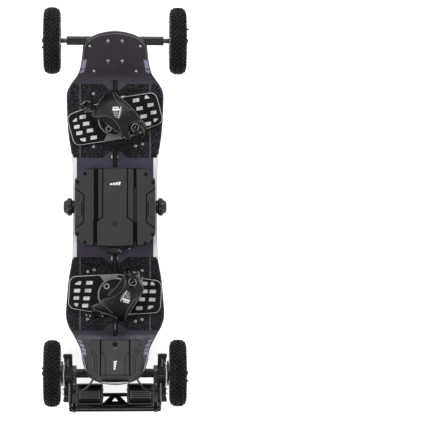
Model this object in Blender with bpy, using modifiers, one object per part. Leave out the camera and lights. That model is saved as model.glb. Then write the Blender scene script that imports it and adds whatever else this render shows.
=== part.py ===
"""All-terrain electric skateboard with pneumatic tyres, two belt-driven motors and foot bindings.

X runs across the board, Y towards the nose and Z up. The tyres stand on Z = 0.
All lengths are in metres.
"""

import math

import bmesh
import bpy
from mathutils import Euler, Matrix, Vector

# Stance
WHEELBASE = 0.996
MID_Y = 0.009
AXLE_Z = 0.100
WHEEL_X = 0.188
GAP = 0.0003

# Wheels
TYRE_SIDES = 32
TYRE_RADIUS = 0.100 / math.cos(math.pi / TYRE_SIDES)
TYRE_HALF_WIDTH = 0.025
BEAD_RADIUS = 0.0503
RIM_SIDES = 20
AXLE_RADIUS = 0.006

# Deck
DECK_UNDERSIDE = 0.098
DECK_THICKNESS = 0.014
DECK_TOP = DECK_UNDERSIDE + DECK_THICKNESS
KICK_ANGLE = math.radians(35)
BEND_RADIUS = 0.060
BEND_START = 0.388 - BEND_RADIUS * math.tan(KICK_ANGLE / 2)
BEND_RUN = BEND_RADIUS * math.sin(KICK_ANGLE)
NOSE_TIP = (0.480, 0.050, 0.096)
TAIL_TIP = (-0.470, -0.048, 0.091)
HALF_WIDTHS = (
    (-0.470, 0.091), (-0.451, 0.097), (-0.418, 0.103), (-0.390, 0.117), (-0.365, 0.130),
    (-0.348, 0.139), (-0.319, 0.147), (-0.262, 0.144), (-0.205, 0.1385), (-0.144, 0.128),
    (-0.120, 0.127), (0.009, 0.125), (0.135, 0.127), (0.157, 0.1285), (0.220, 0.1385),
    (0.279, 0.143), (0.336, 0.145), (0.355, 0.143), (0.380, 0.130), (0.412, 0.109),
    (0.447, 0.100), (0.480, 0.096),
)
GRIP_LOW = DECK_TOP + GAP
GRIP_HIGH = GRIP_LOW + 0.0015

# Trucks, in the truck's own frame: X across, Y up the kick, Z away from the deck's underside
TRUCK_FROM_MID = 0.461
PIVOT_DROP = 0.032
BOSS_RADIUS = 0.013
PIVOT_RADIUS = 0.005
EAR_RADIUS = 0.014
SHOCK_X = 0.0235
SHOCK_RADIUS = 0.009
SHOCK_UP_KICK = -0.022
YOKE_LOW = 0.097
YOKE_HIGH = 0.104
BAR_RADIUS = 0.013 / math.cos(math.pi / 8)
FRONT_BAR_HALF = 0.145
REAR_BAR_HALF = 0.131

# Belt drives
MOTOR_BEHIND = 0.062
MOTOR_RADIUS = 0.0315
MOTOR_INNER_X = 0.036
MOTOR_OUTER_X = 0.112
MOUNT_X = (0.115, 0.128)
CASE_X = (0.1283, 0.155)
CASE_WALL = 0.0025
WHEEL_PULLEY_RADIUS = 0.044
MOTOR_PULLEY_RADIUS = 0.0106
BELT_THICKNESS = 0.003
PULLEY_X = (0.134, 0.150)
MOUNT_RADII = (0.024, 0.033)
CASE_RADII = (0.059, 0.026)
SHAFT_HOLE_RADIUS = 0.010
HUB_HOLE_RADIUS = 0.0265
SHAFT_RADIUS = 0.004
CAN_WALL = 0.0025
STATOR_RADIUS = 0.026
LEAD_RADIUS = 0.003
LEAD_ROUTE = (
    (0.060, -0.484, 0.1635), (0.067, -0.505, 0.160), (0.081, -0.524, 0.153),
    (0.100, -0.537, 0.1475), (0.114, -0.542, 0.1430), (0.1205, -0.543, 0.1358),
)

# Rear guard
RAIL_RADIUS = 0.006
RAIL_HALF = 0.137
RAILS = ((-0.558, 0.052), (-0.601, 0.072), (-0.5895, 0.115))
BRACE_BAND = 0.0230
BRACE_HALF = 0.115

# Battery box
BATTERY_OUTLINE = (
    (0.0, 0.127), (0.092, 0.124), (0.119, 0.090), (0.119, -0.073), (0.092, -0.107),
    (0.0, -0.110), (-0.092, -0.107), (-0.119, -0.073), (-0.119, 0.090), (-0.092, 0.124),
)
BATTERY_SPLIT = 0.150
BATTERY_TOP = 0.190
BATTERY_WALL = 0.003
GROOVE_X = 0.058
KNOB_Y = 0.009
KNOB_POINTS = 24

# Motor controller box on the tail, in the truck frame of the tail
ESC_OUTLINE = (
    (-0.072, -0.056), (0.072, -0.056), (0.083, -0.044), (0.083, 0.047), (0.046, 0.073),
    (-0.046, 0.073), (-0.083, 0.047), (-0.083, -0.044),
)
ESC_HEIGHT = 0.030
ESC_WALL = 0.003
BUTTON_UP_KICK = -0.0342
BUTTON_RADIUS = 0.007

# Bindings, in each binding's own frame
BINDING_Y = {"front": 0.272, "rear": -0.253}
BINDING_TURN = {"front": math.radians(15), "rear": math.radians(-3)}
BINDING_OUTLINE = (
    (-0.140, -0.049), (0.0, -0.064), (0.140, -0.049), (0.140, 0.049), (0.0, 0.064), (-0.140, 0.049),
)
BASE_THICKNESS = 0.004
PAD_THICKNESS = 0.010
DISC_RADIUS = 0.052
VAMP_HALF_SPAN = 0.077
VAMP_RISE = 0.082
VAMP_THICKNESS = 0.008
VAMP_NECK = 0.018
VAMP_REACH = 0.064
VAMP_SKEW = 0.33
VAMP_OFFSET = 0.008
VAMP_EDGE = VAMP_NECK + VAMP_REACH
VAMP_DROOP = 0.022
LEVER_X = 0.048
LEVER_Y = 0.044
LEVER_TILT = math.radians(30)
LEVER_ROLL = math.radians(12)

PAINT = {
    "deck": ((0.045, 0.042, 0.052), 0.55, 0.0),
    "grip": ((0.008, 0.008, 0.009), 0.95, 0.0),
    "case": ((0.058, 0.058, 0.058), 0.50, 0.0),
    "black": ((0.012, 0.012, 0.013), 0.45, 0.0),
    "tyre": ((0.010, 0.010, 0.010), 0.85, 0.0),
    "steel": ((0.55, 0.55, 0.56), 0.30, 1.0),
    "anodised": ((0.030, 0.030, 0.032), 0.40, 0.8),
    "orange": ((0.75, 0.22, 0.02), 0.60, 0.0),
    "fabric": ((0.020, 0.020, 0.022), 0.85, 0.0),
    "copper": ((0.60, 0.28, 0.12), 0.40, 1.0),
    "board": ((0.02, 0.16, 0.06), 0.55, 0.0),
    "cells": ((0.05, 0.16, 0.40), 0.50, 0.0),
}

# Half the angle of a corner that is too blunt to need rounding
BLUNT = math.radians(78)

# A plate's frame that puts its outline's x along Y, its y along Z and its thickness along X
SIDEWAYS = Euler((math.pi / 2, 0, math.pi / 2)).to_matrix().to_4x4()
UPRIGHT = Matrix.Identity(4)


def collection(name):
    """Return a new collection in the scene."""
    group = bpy.data.collections.new(name)
    bpy.context.scene.collection.children.link(group)
    return group


for old in list(bpy.data.objects):
    bpy.data.objects.remove(old, do_unlink=True)
PARTS = collection("electric_skateboard")
TOOLS = collection("cutters")


# Building blocks

def dress(obj, paint):
    """Give a sub-part its own Principled BSDF material."""
    colour, roughness, metallic = PAINT[paint]
    material = bpy.data.materials.new(obj.name + "_finish")
    material.use_nodes = True
    shader = material.node_tree.nodes["Principled BSDF"]
    shader.inputs["Base Color"].default_value = (*colour, 1.0)
    shader.inputs["Roughness"].default_value = roughness
    shader.inputs["Metallic"].default_value = metallic
    obj.data.materials.clear()
    obj.data.materials.append(material)


def place(obj, frame, paint):
    """Put an object in its frame, as a painted sub-part or, without paint, as a tool."""
    obj.location = frame.to_translation()
    obj.rotation_euler = frame.to_euler()
    if paint:
        PARTS.objects.link(obj)
        dress(obj, paint)
    else:
        TOOLS.objects.link(obj)
        obj.hide_render = True
        obj.display_type = "WIRE"
    return obj


def from_bmesh(name, bm, frame, paint, smooth=None):
    """Turn a bmesh into an object; smooth is the angle above which its edges stay sharp."""
    mesh = bpy.data.meshes.new(name)
    bm.to_mesh(mesh)
    bm.free()
    if smooth:
        mesh.shade_smooth()
        mesh.set_sharp_from_angle(angle=smooth)
    return place(bpy.data.objects.new(name, mesh), frame, paint)


def box(name, size, centre, frame=UPRIGHT, paint=None):
    """Make a box of the given size round a centre."""
    bm = bmesh.new()
    bmesh.ops.create_cube(bm, size=1.0)
    bmesh.ops.scale(bm, vec=size, verts=bm.verts)
    return from_bmesh(name, bm, frame @ Matrix.Translation(centre), paint)


def rod(name, radius, start, end, sides, frame=UPRIGHT, paint=None, turn=0.0):
    """Make a round or many-sided bar between two points."""
    start = Vector(start)
    run = Vector(end) - start
    bm = bmesh.new()
    bmesh.ops.create_cone(
        bm, cap_ends=True, segments=sides, radius1=radius, radius2=radius, depth=run.length
    )
    aim = run.to_track_quat("Z", "Y").to_matrix().to_4x4() @ Matrix.Rotation(turn, 4, "Z")
    middle = Matrix.Translation(start + run / 2)
    return from_bmesh(name, bm, frame @ middle @ aim, paint, math.radians(50))


def turned(name, profile, sides, frame, paint=None, closed=True):
    """Turn a profile of (radius, height), which runs down its outer side, round the frame's Z."""
    mesh = bpy.data.meshes.new(name)
    last = len(profile) if closed else len(profile) - 1
    edges = [(i, (i + 1) % len(profile)) for i in range(last)]
    mesh.from_pydata([(r, 0.0, z) for r, z in profile], edges, [])
    obj = bpy.data.objects.new(name, mesh)
    screw = obj.modifiers.new("turn", "SCREW")
    screw.steps = sides
    screw.render_steps = sides
    screw.use_merge_vertices = True
    screw.merge_threshold = 0.00001
    screw.use_smooth_shade = False
    return place(obj, frame, paint)


def rounded(corners, radius, steps=3):
    """Return an outline whose corners, apart from blunt ones, are arcs of the given radius."""
    outline = []
    count = len(corners)
    for i in range(count):
        corner = Vector(corners[i])
        back = (Vector(corners[i - 1]) - corner).normalized()
        ahead = (Vector(corners[(i + 1) % count]) - corner).normalized()
        half = back.angle(ahead) / 2
        if half > BLUNT:
            outline.append(tuple(corner))
            continue
        centre = corner + (back + ahead).normalized() * radius / math.sin(half)
        first = corner + back * radius / math.tan(half) - centre
        last = corner + ahead * radius / math.tan(half) - centre
        for k in range(steps + 1):
            arm = first.slerp(last, k / steps).normalized() * radius
            outline.append(tuple(centre + arm))
    return outline


def inset(corners, distance):
    """Return a clockwise or anticlockwise outline moved inwards by a distance."""
    count = len(corners)
    points = [Vector(c) for c in corners]
    area = sum(points[i - 1].cross(points[i]) for i in range(count))
    side = 1.0 if area > 0 else -1.0
    moved = []
    for i in range(count):
        before = (points[i] - points[i - 1]).normalized()
        after = (points[(i + 1) % count] - points[i]).normalized()
        inward = Vector((-before.y - after.y, before.x + after.x)) * side
        inward.normalize()
        stretch = abs(inward.cross(before))
        moved.append(tuple(points[i] + inward * distance / stretch))
    return moved


def circle(centre, radius, sides, start=0.0):
    """Return the points of a regular outline round a centre."""
    angles = [start + 2 * math.pi * k / sides for k in range(sides)]
    return [(centre[0] + radius * math.cos(a), centre[1] + radius * math.sin(a)) for a in angles]


def belt_line(big, big_radius, small, small_radius, sides):
    """Return the outline that wraps two circles, the first of them the larger."""
    big, small = Vector(big), Vector(small)
    span = small - big
    lean = math.acos((big_radius - small_radius) / span.length)
    heading = math.atan2(span.y, span.x)
    outline = []
    for centre, radius, first, last in (
        (big, big_radius, heading + lean, heading - lean + 2 * math.pi),
        (small, small_radius, heading - lean, heading + lean),
    ):
        steps = sides if centre is big else sides // 2
        for k in range(steps + 1):
            a = first + (last - first) * k / steps
            outline.append((centre.x + radius * math.cos(a), centre.y + radius * math.sin(a)))
    return outline


def plate(name, outlines, low, high, frame=UPRIGHT, paint=None):
    """Extrude a flat outline, with any holes after it, between two heights of its frame."""
    curve = bpy.data.curves.new(name, "CURVE")
    curve.dimensions = "2D"
    curve.fill_mode = "BOTH"
    curve.extrude = (high - low) / 2
    for outline in outlines:
        spline = curve.splines.new("POLY")
        spline.points.add(len(outline) - 1)
        for point, (x, y) in zip(spline.points, outline):
            point.co = (x, y, 0.0, 1.0)
        spline.use_cyclic_u = True
    return as_mesh(name, curve, frame @ Matrix.Translation((0, 0, (low + high) / 2)), paint)


def as_mesh(name, curve, frame, paint):
    """Turn a curve into a welded mesh object, which can be cut and joined."""
    guide = bpy.data.objects.new(name + "_curve", curve)
    TOOLS.objects.link(guide)
    bpy.context.view_layer.update()
    evaluated = guide.evaluated_get(bpy.context.evaluated_depsgraph_get())
    mesh = bpy.data.meshes.new_from_object(evaluated)
    bpy.data.objects.remove(guide)
    bm = bmesh.new()
    bm.from_mesh(mesh)
    bmesh.ops.remove_doubles(bm, verts=bm.verts, dist=0.000001)
    bpy.data.meshes.remove(mesh)
    return from_bmesh(name, bm, frame, paint)


def tube(name, points, radius, paint):
    """Sweep a round lead along a smooth line through a few points."""
    curve = bpy.data.curves.new(name, "CURVE")
    curve.dimensions = "3D"
    curve.bevel_depth = radius
    curve.bevel_resolution = 2
    curve.use_fill_caps = True
    line = smooth_line([Vector(p) for p in points], 3)
    spline = curve.splines.new("POLY")
    spline.points.add(len(line) - 1)
    for point, co in zip(spline.points, line):
        point.co = (*co, 1.0)
    return as_mesh(name, curve, UPRIGHT, paint)


def smooth_line(points, steps):
    """Return a Catmull-Rom line through points, with a number of steps between each pair."""
    ends = [2 * points[0] - points[1]] + points + [2 * points[-1] - points[-2]]
    line = [points[0]]
    for i in range(1, len(ends) - 2):
        a, b, c, d = ends[i - 1:i + 3]
        for k in range(1, steps + 1):
            t = k / steps
            line.append(0.5 * (
                2 * b + (c - a) * t + (2 * a - 5 * b + 4 * c - d) * t ** 2
                + (3 * b - a - 3 * c + d) * t ** 3
            ))
    return line


def boolean(target, tool, operation):
    """Join a tool to a target, or cut it away."""
    step = target.modifiers.new(tool.name, "BOOLEAN")
    step.operation = operation
    step.object = tool
    step.solver = "EXACT"


def join(target, *tools):
    for tool in tools:
        boolean(target, tool, "UNION")


def cut(target, *tools):
    for tool in tools:
        boolean(target, tool, "DIFFERENCE")


def joint(name, position, axis):
    """Make an empty on a joint's axis, which carries what moves with it."""
    empty = bpy.data.objects.new(name, None)
    empty.location = position
    empty.rotation_euler = Vector(axis).to_track_quat("Z", "Y").to_euler()
    empty.empty_display_size = 0.05
    PARTS.objects.link(empty)
    return empty


def carry(parent, *children):
    """Parent objects to an empty and leave them where they are."""
    for child in children:
        child.parent = parent
        child.matrix_parent_inverse = world_of(parent).inverted()


def world_of(obj):
    """Return an object's world matrix, worked out through its parents."""
    if obj.parent:
        return world_of(obj.parent) @ obj.matrix_parent_inverse @ obj.matrix_basis
    return obj.matrix_basis.copy()


# Deck

def deck_underside(y):
    """Return the height of the deck's underside at a place along the board."""
    beyond = abs(y - MID_Y) - BEND_START
    if beyond <= 0:
        return DECK_UNDERSIDE
    if beyond < BEND_RUN:
        return DECK_UNDERSIDE + BEND_RADIUS - math.sqrt(BEND_RADIUS ** 2 - beyond ** 2)
    rise = BEND_RADIUS * (1 - math.cos(KICK_ANGLE))
    return DECK_UNDERSIDE + rise + (beyond - BEND_RUN) * math.tan(KICK_ANGLE)


def half_width(y):
    """Return half the deck's width at a place along the board."""
    for start, length, width in (NOSE_TIP, TAIL_TIP):
        along = (y - start) / length
        if along > 0:
            return width * math.sqrt(max(0.0, 1 - along ** 2))
    row = max(i for i in range(len(HALF_WIDTHS) - 1) if HALF_WIDTHS[i][0] <= y)
    (y0, w0), (y1, w1) = HALF_WIDTHS[row], HALF_WIDTHS[row + 1]
    step = y1 - y0
    t = (y - y0) / step
    slope0 = slope_at(row)
    slope1 = slope_at(row + 1)
    return (
        w0 * (1 + 2 * t) * (1 - t) ** 2 + slope0 * step * t * (1 - t) ** 2
        + w1 * t ** 2 * (3 - 2 * t) + slope1 * step * t ** 2 * (t - 1)
    )


def slope_at(row):
    """Return the slope of the deck's edge at a row of the width table."""
    before = HALF_WIDTHS[max(row - 1, 0)]
    after = HALF_WIDTHS[min(row + 1, len(HALF_WIDTHS) - 1)]
    return (after[1] - before[1]) / (after[0] - before[0])


def deck_rows():
    """Return the places along the board where the deck has a row of points."""
    rows = [y for y, _ in HALF_WIDTHS]
    for start, length, _ in (NOSE_TIP, TAIL_TIP):
        rows += [start + length * math.sin(math.radians(a)) for a in (20, 35, 50, 63, 75, 88)]
    for side in (-1, 1):
        rows += [MID_Y + side * (BEND_START + BEND_RUN * k / 4) for k in range(5)]
    return sorted(rows)


def make_deck():
    """Make the one-piece deck as a bent sheet, thickened upwards."""
    rows = deck_rows()
    bm = bmesh.new()
    bmesh.ops.create_grid(bm, x_segments=1, y_segments=len(rows) - 1, size=1.0)
    for v in bm.verts:
        y = rows[round((v.co.y + 1) / 2 * (len(rows) - 1))]
        v.co = Vector((v.co.x * half_width(y), y, deck_underside(y)))
    deck = from_bmesh("deck", bm, UPRIGHT, "deck")
    thicken = deck.modifiers.new("thickness", "SOLIDIFY")
    thicken.thickness = DECK_THICKNESS
    thicken.offset = 1.0
    thicken.use_even_offset = True
    return deck


def make_grips():
    """Make the two rough sheets that the bindings stand on, notched at the middle of each end."""
    for name, rear, front in (("front_grip", 0.157, 0.377), ("rear_grip", -0.359, -0.141)):
        count = 7
        right = []
        for k in range(count):
            y = rear + (front - rear) * k / (count - 1)
            right.append((half_width(y) - 0.004, y))
        notch = 0.018
        nose_notch = [(0.038, front), (0.016, front - notch), (-0.016, front - notch), (-0.038, front)]
        tail_notch = [(-0.038, rear), (-0.016, rear + notch), (0.016, rear + notch), (0.038, rear)]
        left = [(-x, y) for x, y in reversed(right)]
        plate(name, [right + nose_notch + left + tail_notch], GRIP_LOW, GRIP_HIGH, paint="grip")


# Battery and controller

def make_battery():
    """Make the battery's tray, lid, cell pack, plug and the two hand knobs at its sides."""
    outer = rounded(BATTERY_OUTLINE, 0.008, 2)
    inner = rounded(inset(BATTERY_OUTLINE, BATTERY_WALL), 0.005, 2)
    floor = DECK_TOP + GAP
    tray = plate("battery_tray", [outer], floor, BATTERY_SPLIT, paint="case")
    cut(tray, plate("tray_hollow", [inner], floor + BATTERY_WALL, BATTERY_SPLIT + 0.01))
    lid = plate("battery_lid", [outer], BATTERY_SPLIT + GAP, BATTERY_TOP, paint="case")
    roof = 0.005
    cut(lid, plate("lid_hollow", [inner], BATTERY_SPLIT - 0.01, BATTERY_TOP - roof))
    for side in (-1, 1):
        groove = box(f"groove_{side}", (0.012, 0.3, 0.006), (side * GROOVE_X, KNOB_Y, BATTERY_TOP))
        cut(lid, groove)
    cells = (0.200, 0.196, 0.060)
    pack_floor = floor + BATTERY_WALL + 0.001
    box("battery_pack", cells, (0, KNOB_Y, pack_floor + cells[2] / 2), paint="cells")
    box("battery_plug", (0.039, 0.018, 0.022), (-0.004, -0.1205, floor + 0.011), paint="black")
    for side, word in ((-1, "left"), (1, "right")):
        make_knob(f"battery_knob_{word}", side)


def make_knob(name, side):
    """Make a six-lobed hand knob that turns about X and clamps the battery box."""
    lobes = []
    for k in range(KNOB_POINTS):
        a = 2 * math.pi * k / KNOB_POINTS
        r = 0.0275 + 0.0025 * math.cos(6 * a)
        lobes.append((r * math.cos(a), r * math.sin(a)))
    frame = Matrix.Translation((0, KNOB_Y, BATTERY_SPLIT)) @ SIDEWAYS
    if side < 0:
        frame = frame @ Matrix.Rotation(math.pi, 4, "Y")
    knob = plate(name, [lobes], 0.127, 0.141, frame, "black")
    join(
        knob,
        rod(name + "_flange", 0.024, (0, 0, 0.1203), (0, 0, 0.128), 16, frame),
        rod(name + "_step", 0.0225, (0, 0, 0.140), (0, 0, 0.147), 16, frame),
        rod(name + "_cap", 0.012, (0, 0, 0.146), (0, 0, 0.153), 12, frame),
    )
    pivot = joint(name + "_axis", (side * 0.1203, KNOB_Y, BATTERY_SPLIT), (1, 0, 0))
    carry(pivot, knob)


def make_controller():
    """Make the controller's cover on the tail, the board inside it and the power button."""
    frame = truck_frame("rear")
    base = -(DECK_THICKNESS + GAP)
    top = base - ESC_HEIGHT
    outer = rounded(ESC_OUTLINE, 0.008, 2)
    inner = rounded(inset(ESC_OUTLINE, ESC_WALL), 0.005, 2)
    cover = plate("esc_cover", [outer], top, base, frame, "case")
    cut(
        cover,
        plate("cover_hollow", [inner], top + ESC_WALL, base + 0.01, frame),
        rod("button_hole", BUTTON_RADIUS + GAP, (0, BUTTON_UP_KICK, top - 0.01),
            (0, BUTTON_UP_KICK, top + 0.01), 16, frame),
    )
    box("esc_board", (0.120, 0.070, 0.010), (0, 0, base - 0.008), frame, "board")
    button = rod("power_button", BUTTON_RADIUS, (0, BUTTON_UP_KICK, top - 0.0015),
                 (0, BUTTON_UP_KICK, top + 0.007), 16, frame, "black")
    axis = frame.to_3x3() @ Vector((0, 0, 1))
    carry(joint("power_button_axis", frame @ Vector((0, BUTTON_UP_KICK, top)), axis), button)


# Trucks

def truck_frame(end):
    """Return the frame on the deck's underside: X across, Y up the kick, Z away from the deck."""
    side = 1 if end == "front" else -1
    y = MID_Y + side * TRUCK_FROM_MID
    up_kick = Vector((0, side * math.cos(KICK_ANGLE), math.sin(KICK_ANGLE)))
    away = Vector((0, side * math.sin(KICK_ANGLE), -math.cos(KICK_ANGLE)))
    across = up_kick.cross(away)
    frame = Matrix((across, up_kick, away)).transposed().to_4x4()
    frame.translation = (0, y, deck_underside(y))
    return frame


def axle_y(end):
    return MID_Y + (WHEELBASE / 2 if end == "front" else -WHEELBASE / 2)


def make_truck_base(end, frame):
    """Make the plate that bolts under the kick, with two ears that hold the pivot bolt."""
    corners = ((-0.043, -0.052), (0.043, -0.052), (0.043, 0.052), (-0.043, 0.052))
    base = plate(f"{end}_truck_base", [rounded(corners, 0.010, 2)], GAP, 0.0083, frame, "anodised")
    for side in (-1, 1):
        near, far = side * 0.0368, side * 0.0472
        middle = (0, side * 0.042, PIVOT_DROP / 2 + 0.002)
        join(
            base,
            box(f"{end}_ear_{side}", (2 * EAR_RADIUS, 0.010, PIVOT_DROP - 0.004), middle, frame),
            rod(f"{end}_ear_end_{side}", EAR_RADIUS, (0, near, PIVOT_DROP),
                (0, far, PIVOT_DROP), 16, frame),
        )
    cut(base, pivot_hole(end, "base", frame))
    return base


def pivot_hole(end, what, frame):
    return rod(f"{end}_{what}_pivot_hole", PIVOT_RADIUS + GAP, (0, -0.07, PIVOT_DROP),
               (0, 0.07, PIVOT_DROP), 12, frame)


def make_pivot_bolt(end, frame):
    """Make the kingpin that the hanger turns on, with its head and nut."""
    shank, head, half, inner = PIVOT_RADIUS, 0.009, 0.055, 0.0473
    profile = [
        (0, half), (head, half), (head, inner), (shank, inner),
        (shank, -inner), (head, -inner), (head, -half), (0, -half),
    ]
    lay = Matrix.Translation((0, 0, PIVOT_DROP)) @ Matrix.Rotation(-math.pi / 2, 4, "X")
    turned(f"{end}_pivot_bolt", profile, 12, frame @ lay, "steel", closed=False)


def make_hanger(end, frame):
    """Make the hanger: pivot boss, web, yoke for the shock blocks and the bar round the axle."""
    side = 1 if end == "front" else -1
    y = axle_y(end)
    half = FRONT_BAR_HALF if end == "front" else REAR_BAR_HALF
    hanger = rod(f"{end}_hanger", BAR_RADIUS, (-half, y, AXLE_Z), (half, y, AXLE_Z), 8,
                 paint="anodised", turn=math.pi / 8)
    boss = rod(f"{end}_boss", BOSS_RADIUS, (0, -0.036, PIVOT_DROP), (0, 0.036, PIVOT_DROP), 16, frame)
    web = box(f"{end}_web", (0.025, 0.034, 0.028), (0, 0.001, 0.0475), frame)
    yoke = plate(
        f"{end}_yoke",
        [[(-0.080, y), (-0.025, y - side * 0.044), (0.025, y - side * 0.044), (0.080, y)]],
        YOKE_LOW, YOKE_HIGH,
    )
    join(hanger, boss, web, yoke)
    bore = rod(f"{end}_axle_bore", AXLE_RADIUS + GAP, (-0.2, y, AXLE_Z), (0.2, y, AXLE_Z), 12)
    cut(hanger, pivot_hole(end, "hanger", frame), bore)
    return hanger


def make_shock(end, word, x, frame):
    """Make a rubber shock block between the base plate and the yoke."""
    name = f"{end}_shock_{word}"
    block = rod(name, SHOCK_RADIUS, (x, SHOCK_UP_KICK, 0.0083 + GAP), (x, SHOCK_UP_KICK, 0.060),
                12, frame, "orange")
    y = axle_y(end)
    cut(block, box(name + "_trim", (0.1, 0.2, 0.1), (0, y, YOKE_HIGH + GAP - 0.05)))


def make_axle(end):
    y = axle_y(end)
    return rod(f"{end}_axle", AXLE_RADIUS, (-0.2125, y, AXLE_Z), (0.2125, y, AXLE_Z), 12, paint="steel")


def make_wheel(end, word, side):
    """Make a pneumatic tyre and its rim, which turn about the axle, and return their empty."""
    centre = Vector((side * WHEEL_X, axle_y(end), AXLE_Z))
    lay = Matrix.Translation(centre) @ Matrix.Rotation(side * math.pi / 2, 4, "Y")
    half_step = Matrix.Rotation(math.pi / TYRE_SIDES, 4, "Z")
    outside = [
        (BEAD_RADIUS, 0.0182), (0.057, 0.0182), (0.072, TYRE_HALF_WIDTH), (0.092, 0.022),
        (TYRE_RADIUS, 0.010),
    ]
    inside = [(BEAD_RADIUS, 0.012), (0.072, 0.019), (0.091, 0.012)]
    mirrored = [(r, -z) for r, z in reversed(outside)]
    hollow = [(r, -z) for r, z in inside] + list(reversed(inside))
    tyre = turned(f"{end}_tyre_{word}", outside + mirrored + hollow, TYRE_SIDES,
                  lay @ half_step, "tyre")
    rim_profile = [
        (0.017, 0.0245), (0.017, 0.006), (0.042, 0.005), (0.047, 0.021), (0.055, 0.021),
        (0.055, 0.0185), (0.050, 0.0185), (0.050, -0.0185), (0.055, -0.0185), (0.055, -0.021),
        (0.047, -0.021), (0.042, -0.005), (0.017, -0.006), (0.017, -0.0245),
        (AXLE_RADIUS + GAP, -0.0245), (AXLE_RADIUS + GAP, 0.0245),
    ]
    rim = turned(f"{end}_rim_{word}", rim_profile, RIM_SIDES, lay, "black")
    spin = joint(f"{end}_wheel_{word}_axis", centre, (1, 0, 0))
    carry(spin, tyre, rim)
    return spin


def make_truck(end):
    """Make one truck with its wheels and return the empty on its steering axis."""
    frame = truck_frame(end)
    make_truck_base(end, frame)
    make_pivot_bolt(end, frame)
    across = frame.to_3x3().col[0].x
    for word, side in (("left", -1), ("right", 1)):
        make_shock(end, word, side * across * SHOCK_X, frame)
    steer = joint(f"{end}_steer_axis", frame @ Vector((0, 0, PIVOT_DROP)), frame.to_3x3().col[1])
    carry(steer, make_hanger(end, frame), make_axle(end))
    spins = {}
    for word, side in (("left", -1), ("right", 1)):
        spins[side] = make_wheel(end, word, side)
        carry(steer, spins[side])
    return steer, spins


# Belt drives

def drive_plate(name, outlines, low, high, side, paint=None):
    """Extrude an outline in (Y, Z) between two distances from the board's middle plane."""
    if side > 0:
        return plate(name, outlines, low, high, SIDEWAYS, paint)
    return plate(name, outlines, -high, -low, SIDEWAYS, paint)


def make_drive(word, side, steer, spin):
    """Make one side's motor, mount, pulleys, belt, belt case and motor lead."""
    axle = (axle_y("rear"), AXLE_Z)
    motor = (axle[0] - MOTOR_BEHIND, AXLE_Z)
    across = Matrix.Rotation(side * math.pi / 2, 4, "Y")
    motor_frame = Matrix.Translation((0, motor[0], AXLE_Z)) @ across
    axle_frame = Matrix.Translation((0, axle[0], AXLE_Z)) @ across

    bar_hole = circle(axle, BAR_RADIUS + GAP, 8, math.pi / 8)
    mount = drive_plate(
        f"{word}_motor_mount",
        [belt_line(motor, MOUNT_RADII[1], axle, MOUNT_RADII[0], 12), bar_hole,
         circle(motor, SHAFT_HOLE_RADIUS, 12)],
        *MOUNT_X, side, "anodised",
    )

    case_outline = hull(
        circle(axle, CASE_RADII[0], 8, math.pi / 8) + circle(motor, CASE_RADII[1], 8, math.pi / 8)
    )
    case = drive_plate(f"{word}_belt_case", [case_outline], *CASE_X, side, "case")
    hollow = drive_plate(f"{word}_case_hollow", [inset(case_outline, CASE_WALL)],
                         CASE_X[0] - 0.01, CASE_X[1] - CASE_WALL, side)
    hub_hole = drive_plate(f"{word}_hub_hole", [circle(axle, HUB_HOLE_RADIUS, 20)],
                           CASE_X[1] - 0.01, CASE_X[1] + 0.01, side)
    cut(case, hollow, hub_hole)

    low, high = PULLEY_X
    bore = AXLE_RADIUS + 0.001
    pulley = turned(
        f"{word}_wheel_pulley",
        [(0.025, 0.1625), (0.025, 0.160), (0.037, 0.160), (0.037, 0.156), (0.025, 0.156),
         (0.025, high), (WHEEL_PULLEY_RADIUS, high), (WHEEL_PULLEY_RADIUS, low),
         (bore, low), (bore, 0.1625)],
        24, axle_frame, "steel",
    )
    big = WHEEL_PULLEY_RADIUS + GAP
    small = MOTOR_PULLEY_RADIUS + GAP
    drive_plate(
        f"{word}_drive_belt",
        [belt_line(axle, big + BELT_THICKNESS, motor, small + BELT_THICKNESS, 20),
         belt_line(axle, big, motor, small, 20)],
        low + 0.002, high - 0.002, side, "tyre",
    )

    inner = MOTOR_INNER_X
    floor = inner + CAN_WALL
    bore_radius = MOTOR_RADIUS - CAN_WALL
    can = turned(
        f"{word}_motor_can",
        [(0, high), (SHAFT_RADIUS, high), (SHAFT_RADIUS, floor), (bore_radius, floor),
         (bore_radius, MOTOR_OUTER_X), (MOTOR_RADIUS, MOTOR_OUTER_X), (MOTOR_RADIUS, inner),
         (0, inner)],
        24, motor_frame, "black", closed=False,
    )
    back = MOUNT_X[0] - GAP
    stator_bore = SHAFT_RADIUS + 0.001
    stator = turned(
        f"{word}_motor_stator",
        [(STATOR_RADIUS, back), (STATOR_RADIUS, inner + 0.005), (stator_bore, inner + 0.005),
         (stator_bore, back)],
        20, motor_frame, "copper",
    )
    motor_pulley = turned(
        f"{word}_motor_pulley",
        [(MOTOR_PULLEY_RADIUS, high), (MOTOR_PULLEY_RADIUS, low), (SHAFT_RADIUS + GAP, low),
         (SHAFT_RADIUS + GAP, high)],
        16, motor_frame, "steel",
    )
    motor_spin = joint(f"{word}_motor_axis", (side * WHEEL_X, motor[0], AXLE_Z), (1, 0, 0))
    carry(motor_spin, can, motor_pulley)
    carry(spin, pulley)
    carry(steer, mount, case, stator, motor_spin)
    tube(f"{word}_motor_cable", [(side * x, y, z) for x, y, z in LEAD_ROUTE], LEAD_RADIUS, "black")


def hull(points):
    """Return the convex outline round a set of points."""
    points = sorted(set(points))
    chains = []
    for sequence in (points, list(reversed(points))):
        chain = []
        for p in sequence:
            while len(chain) > 1 and turn_of(chain[-2], chain[-1], p) <= 0:
                chain.pop()
            chain.append(p)
        chains += chain[:-1]
    return chains


def turn_of(a, b, c):
    return (b[0] - a[0]) * (c[1] - a[1]) - (b[1] - a[1]) * (c[0] - a[0])


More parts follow.
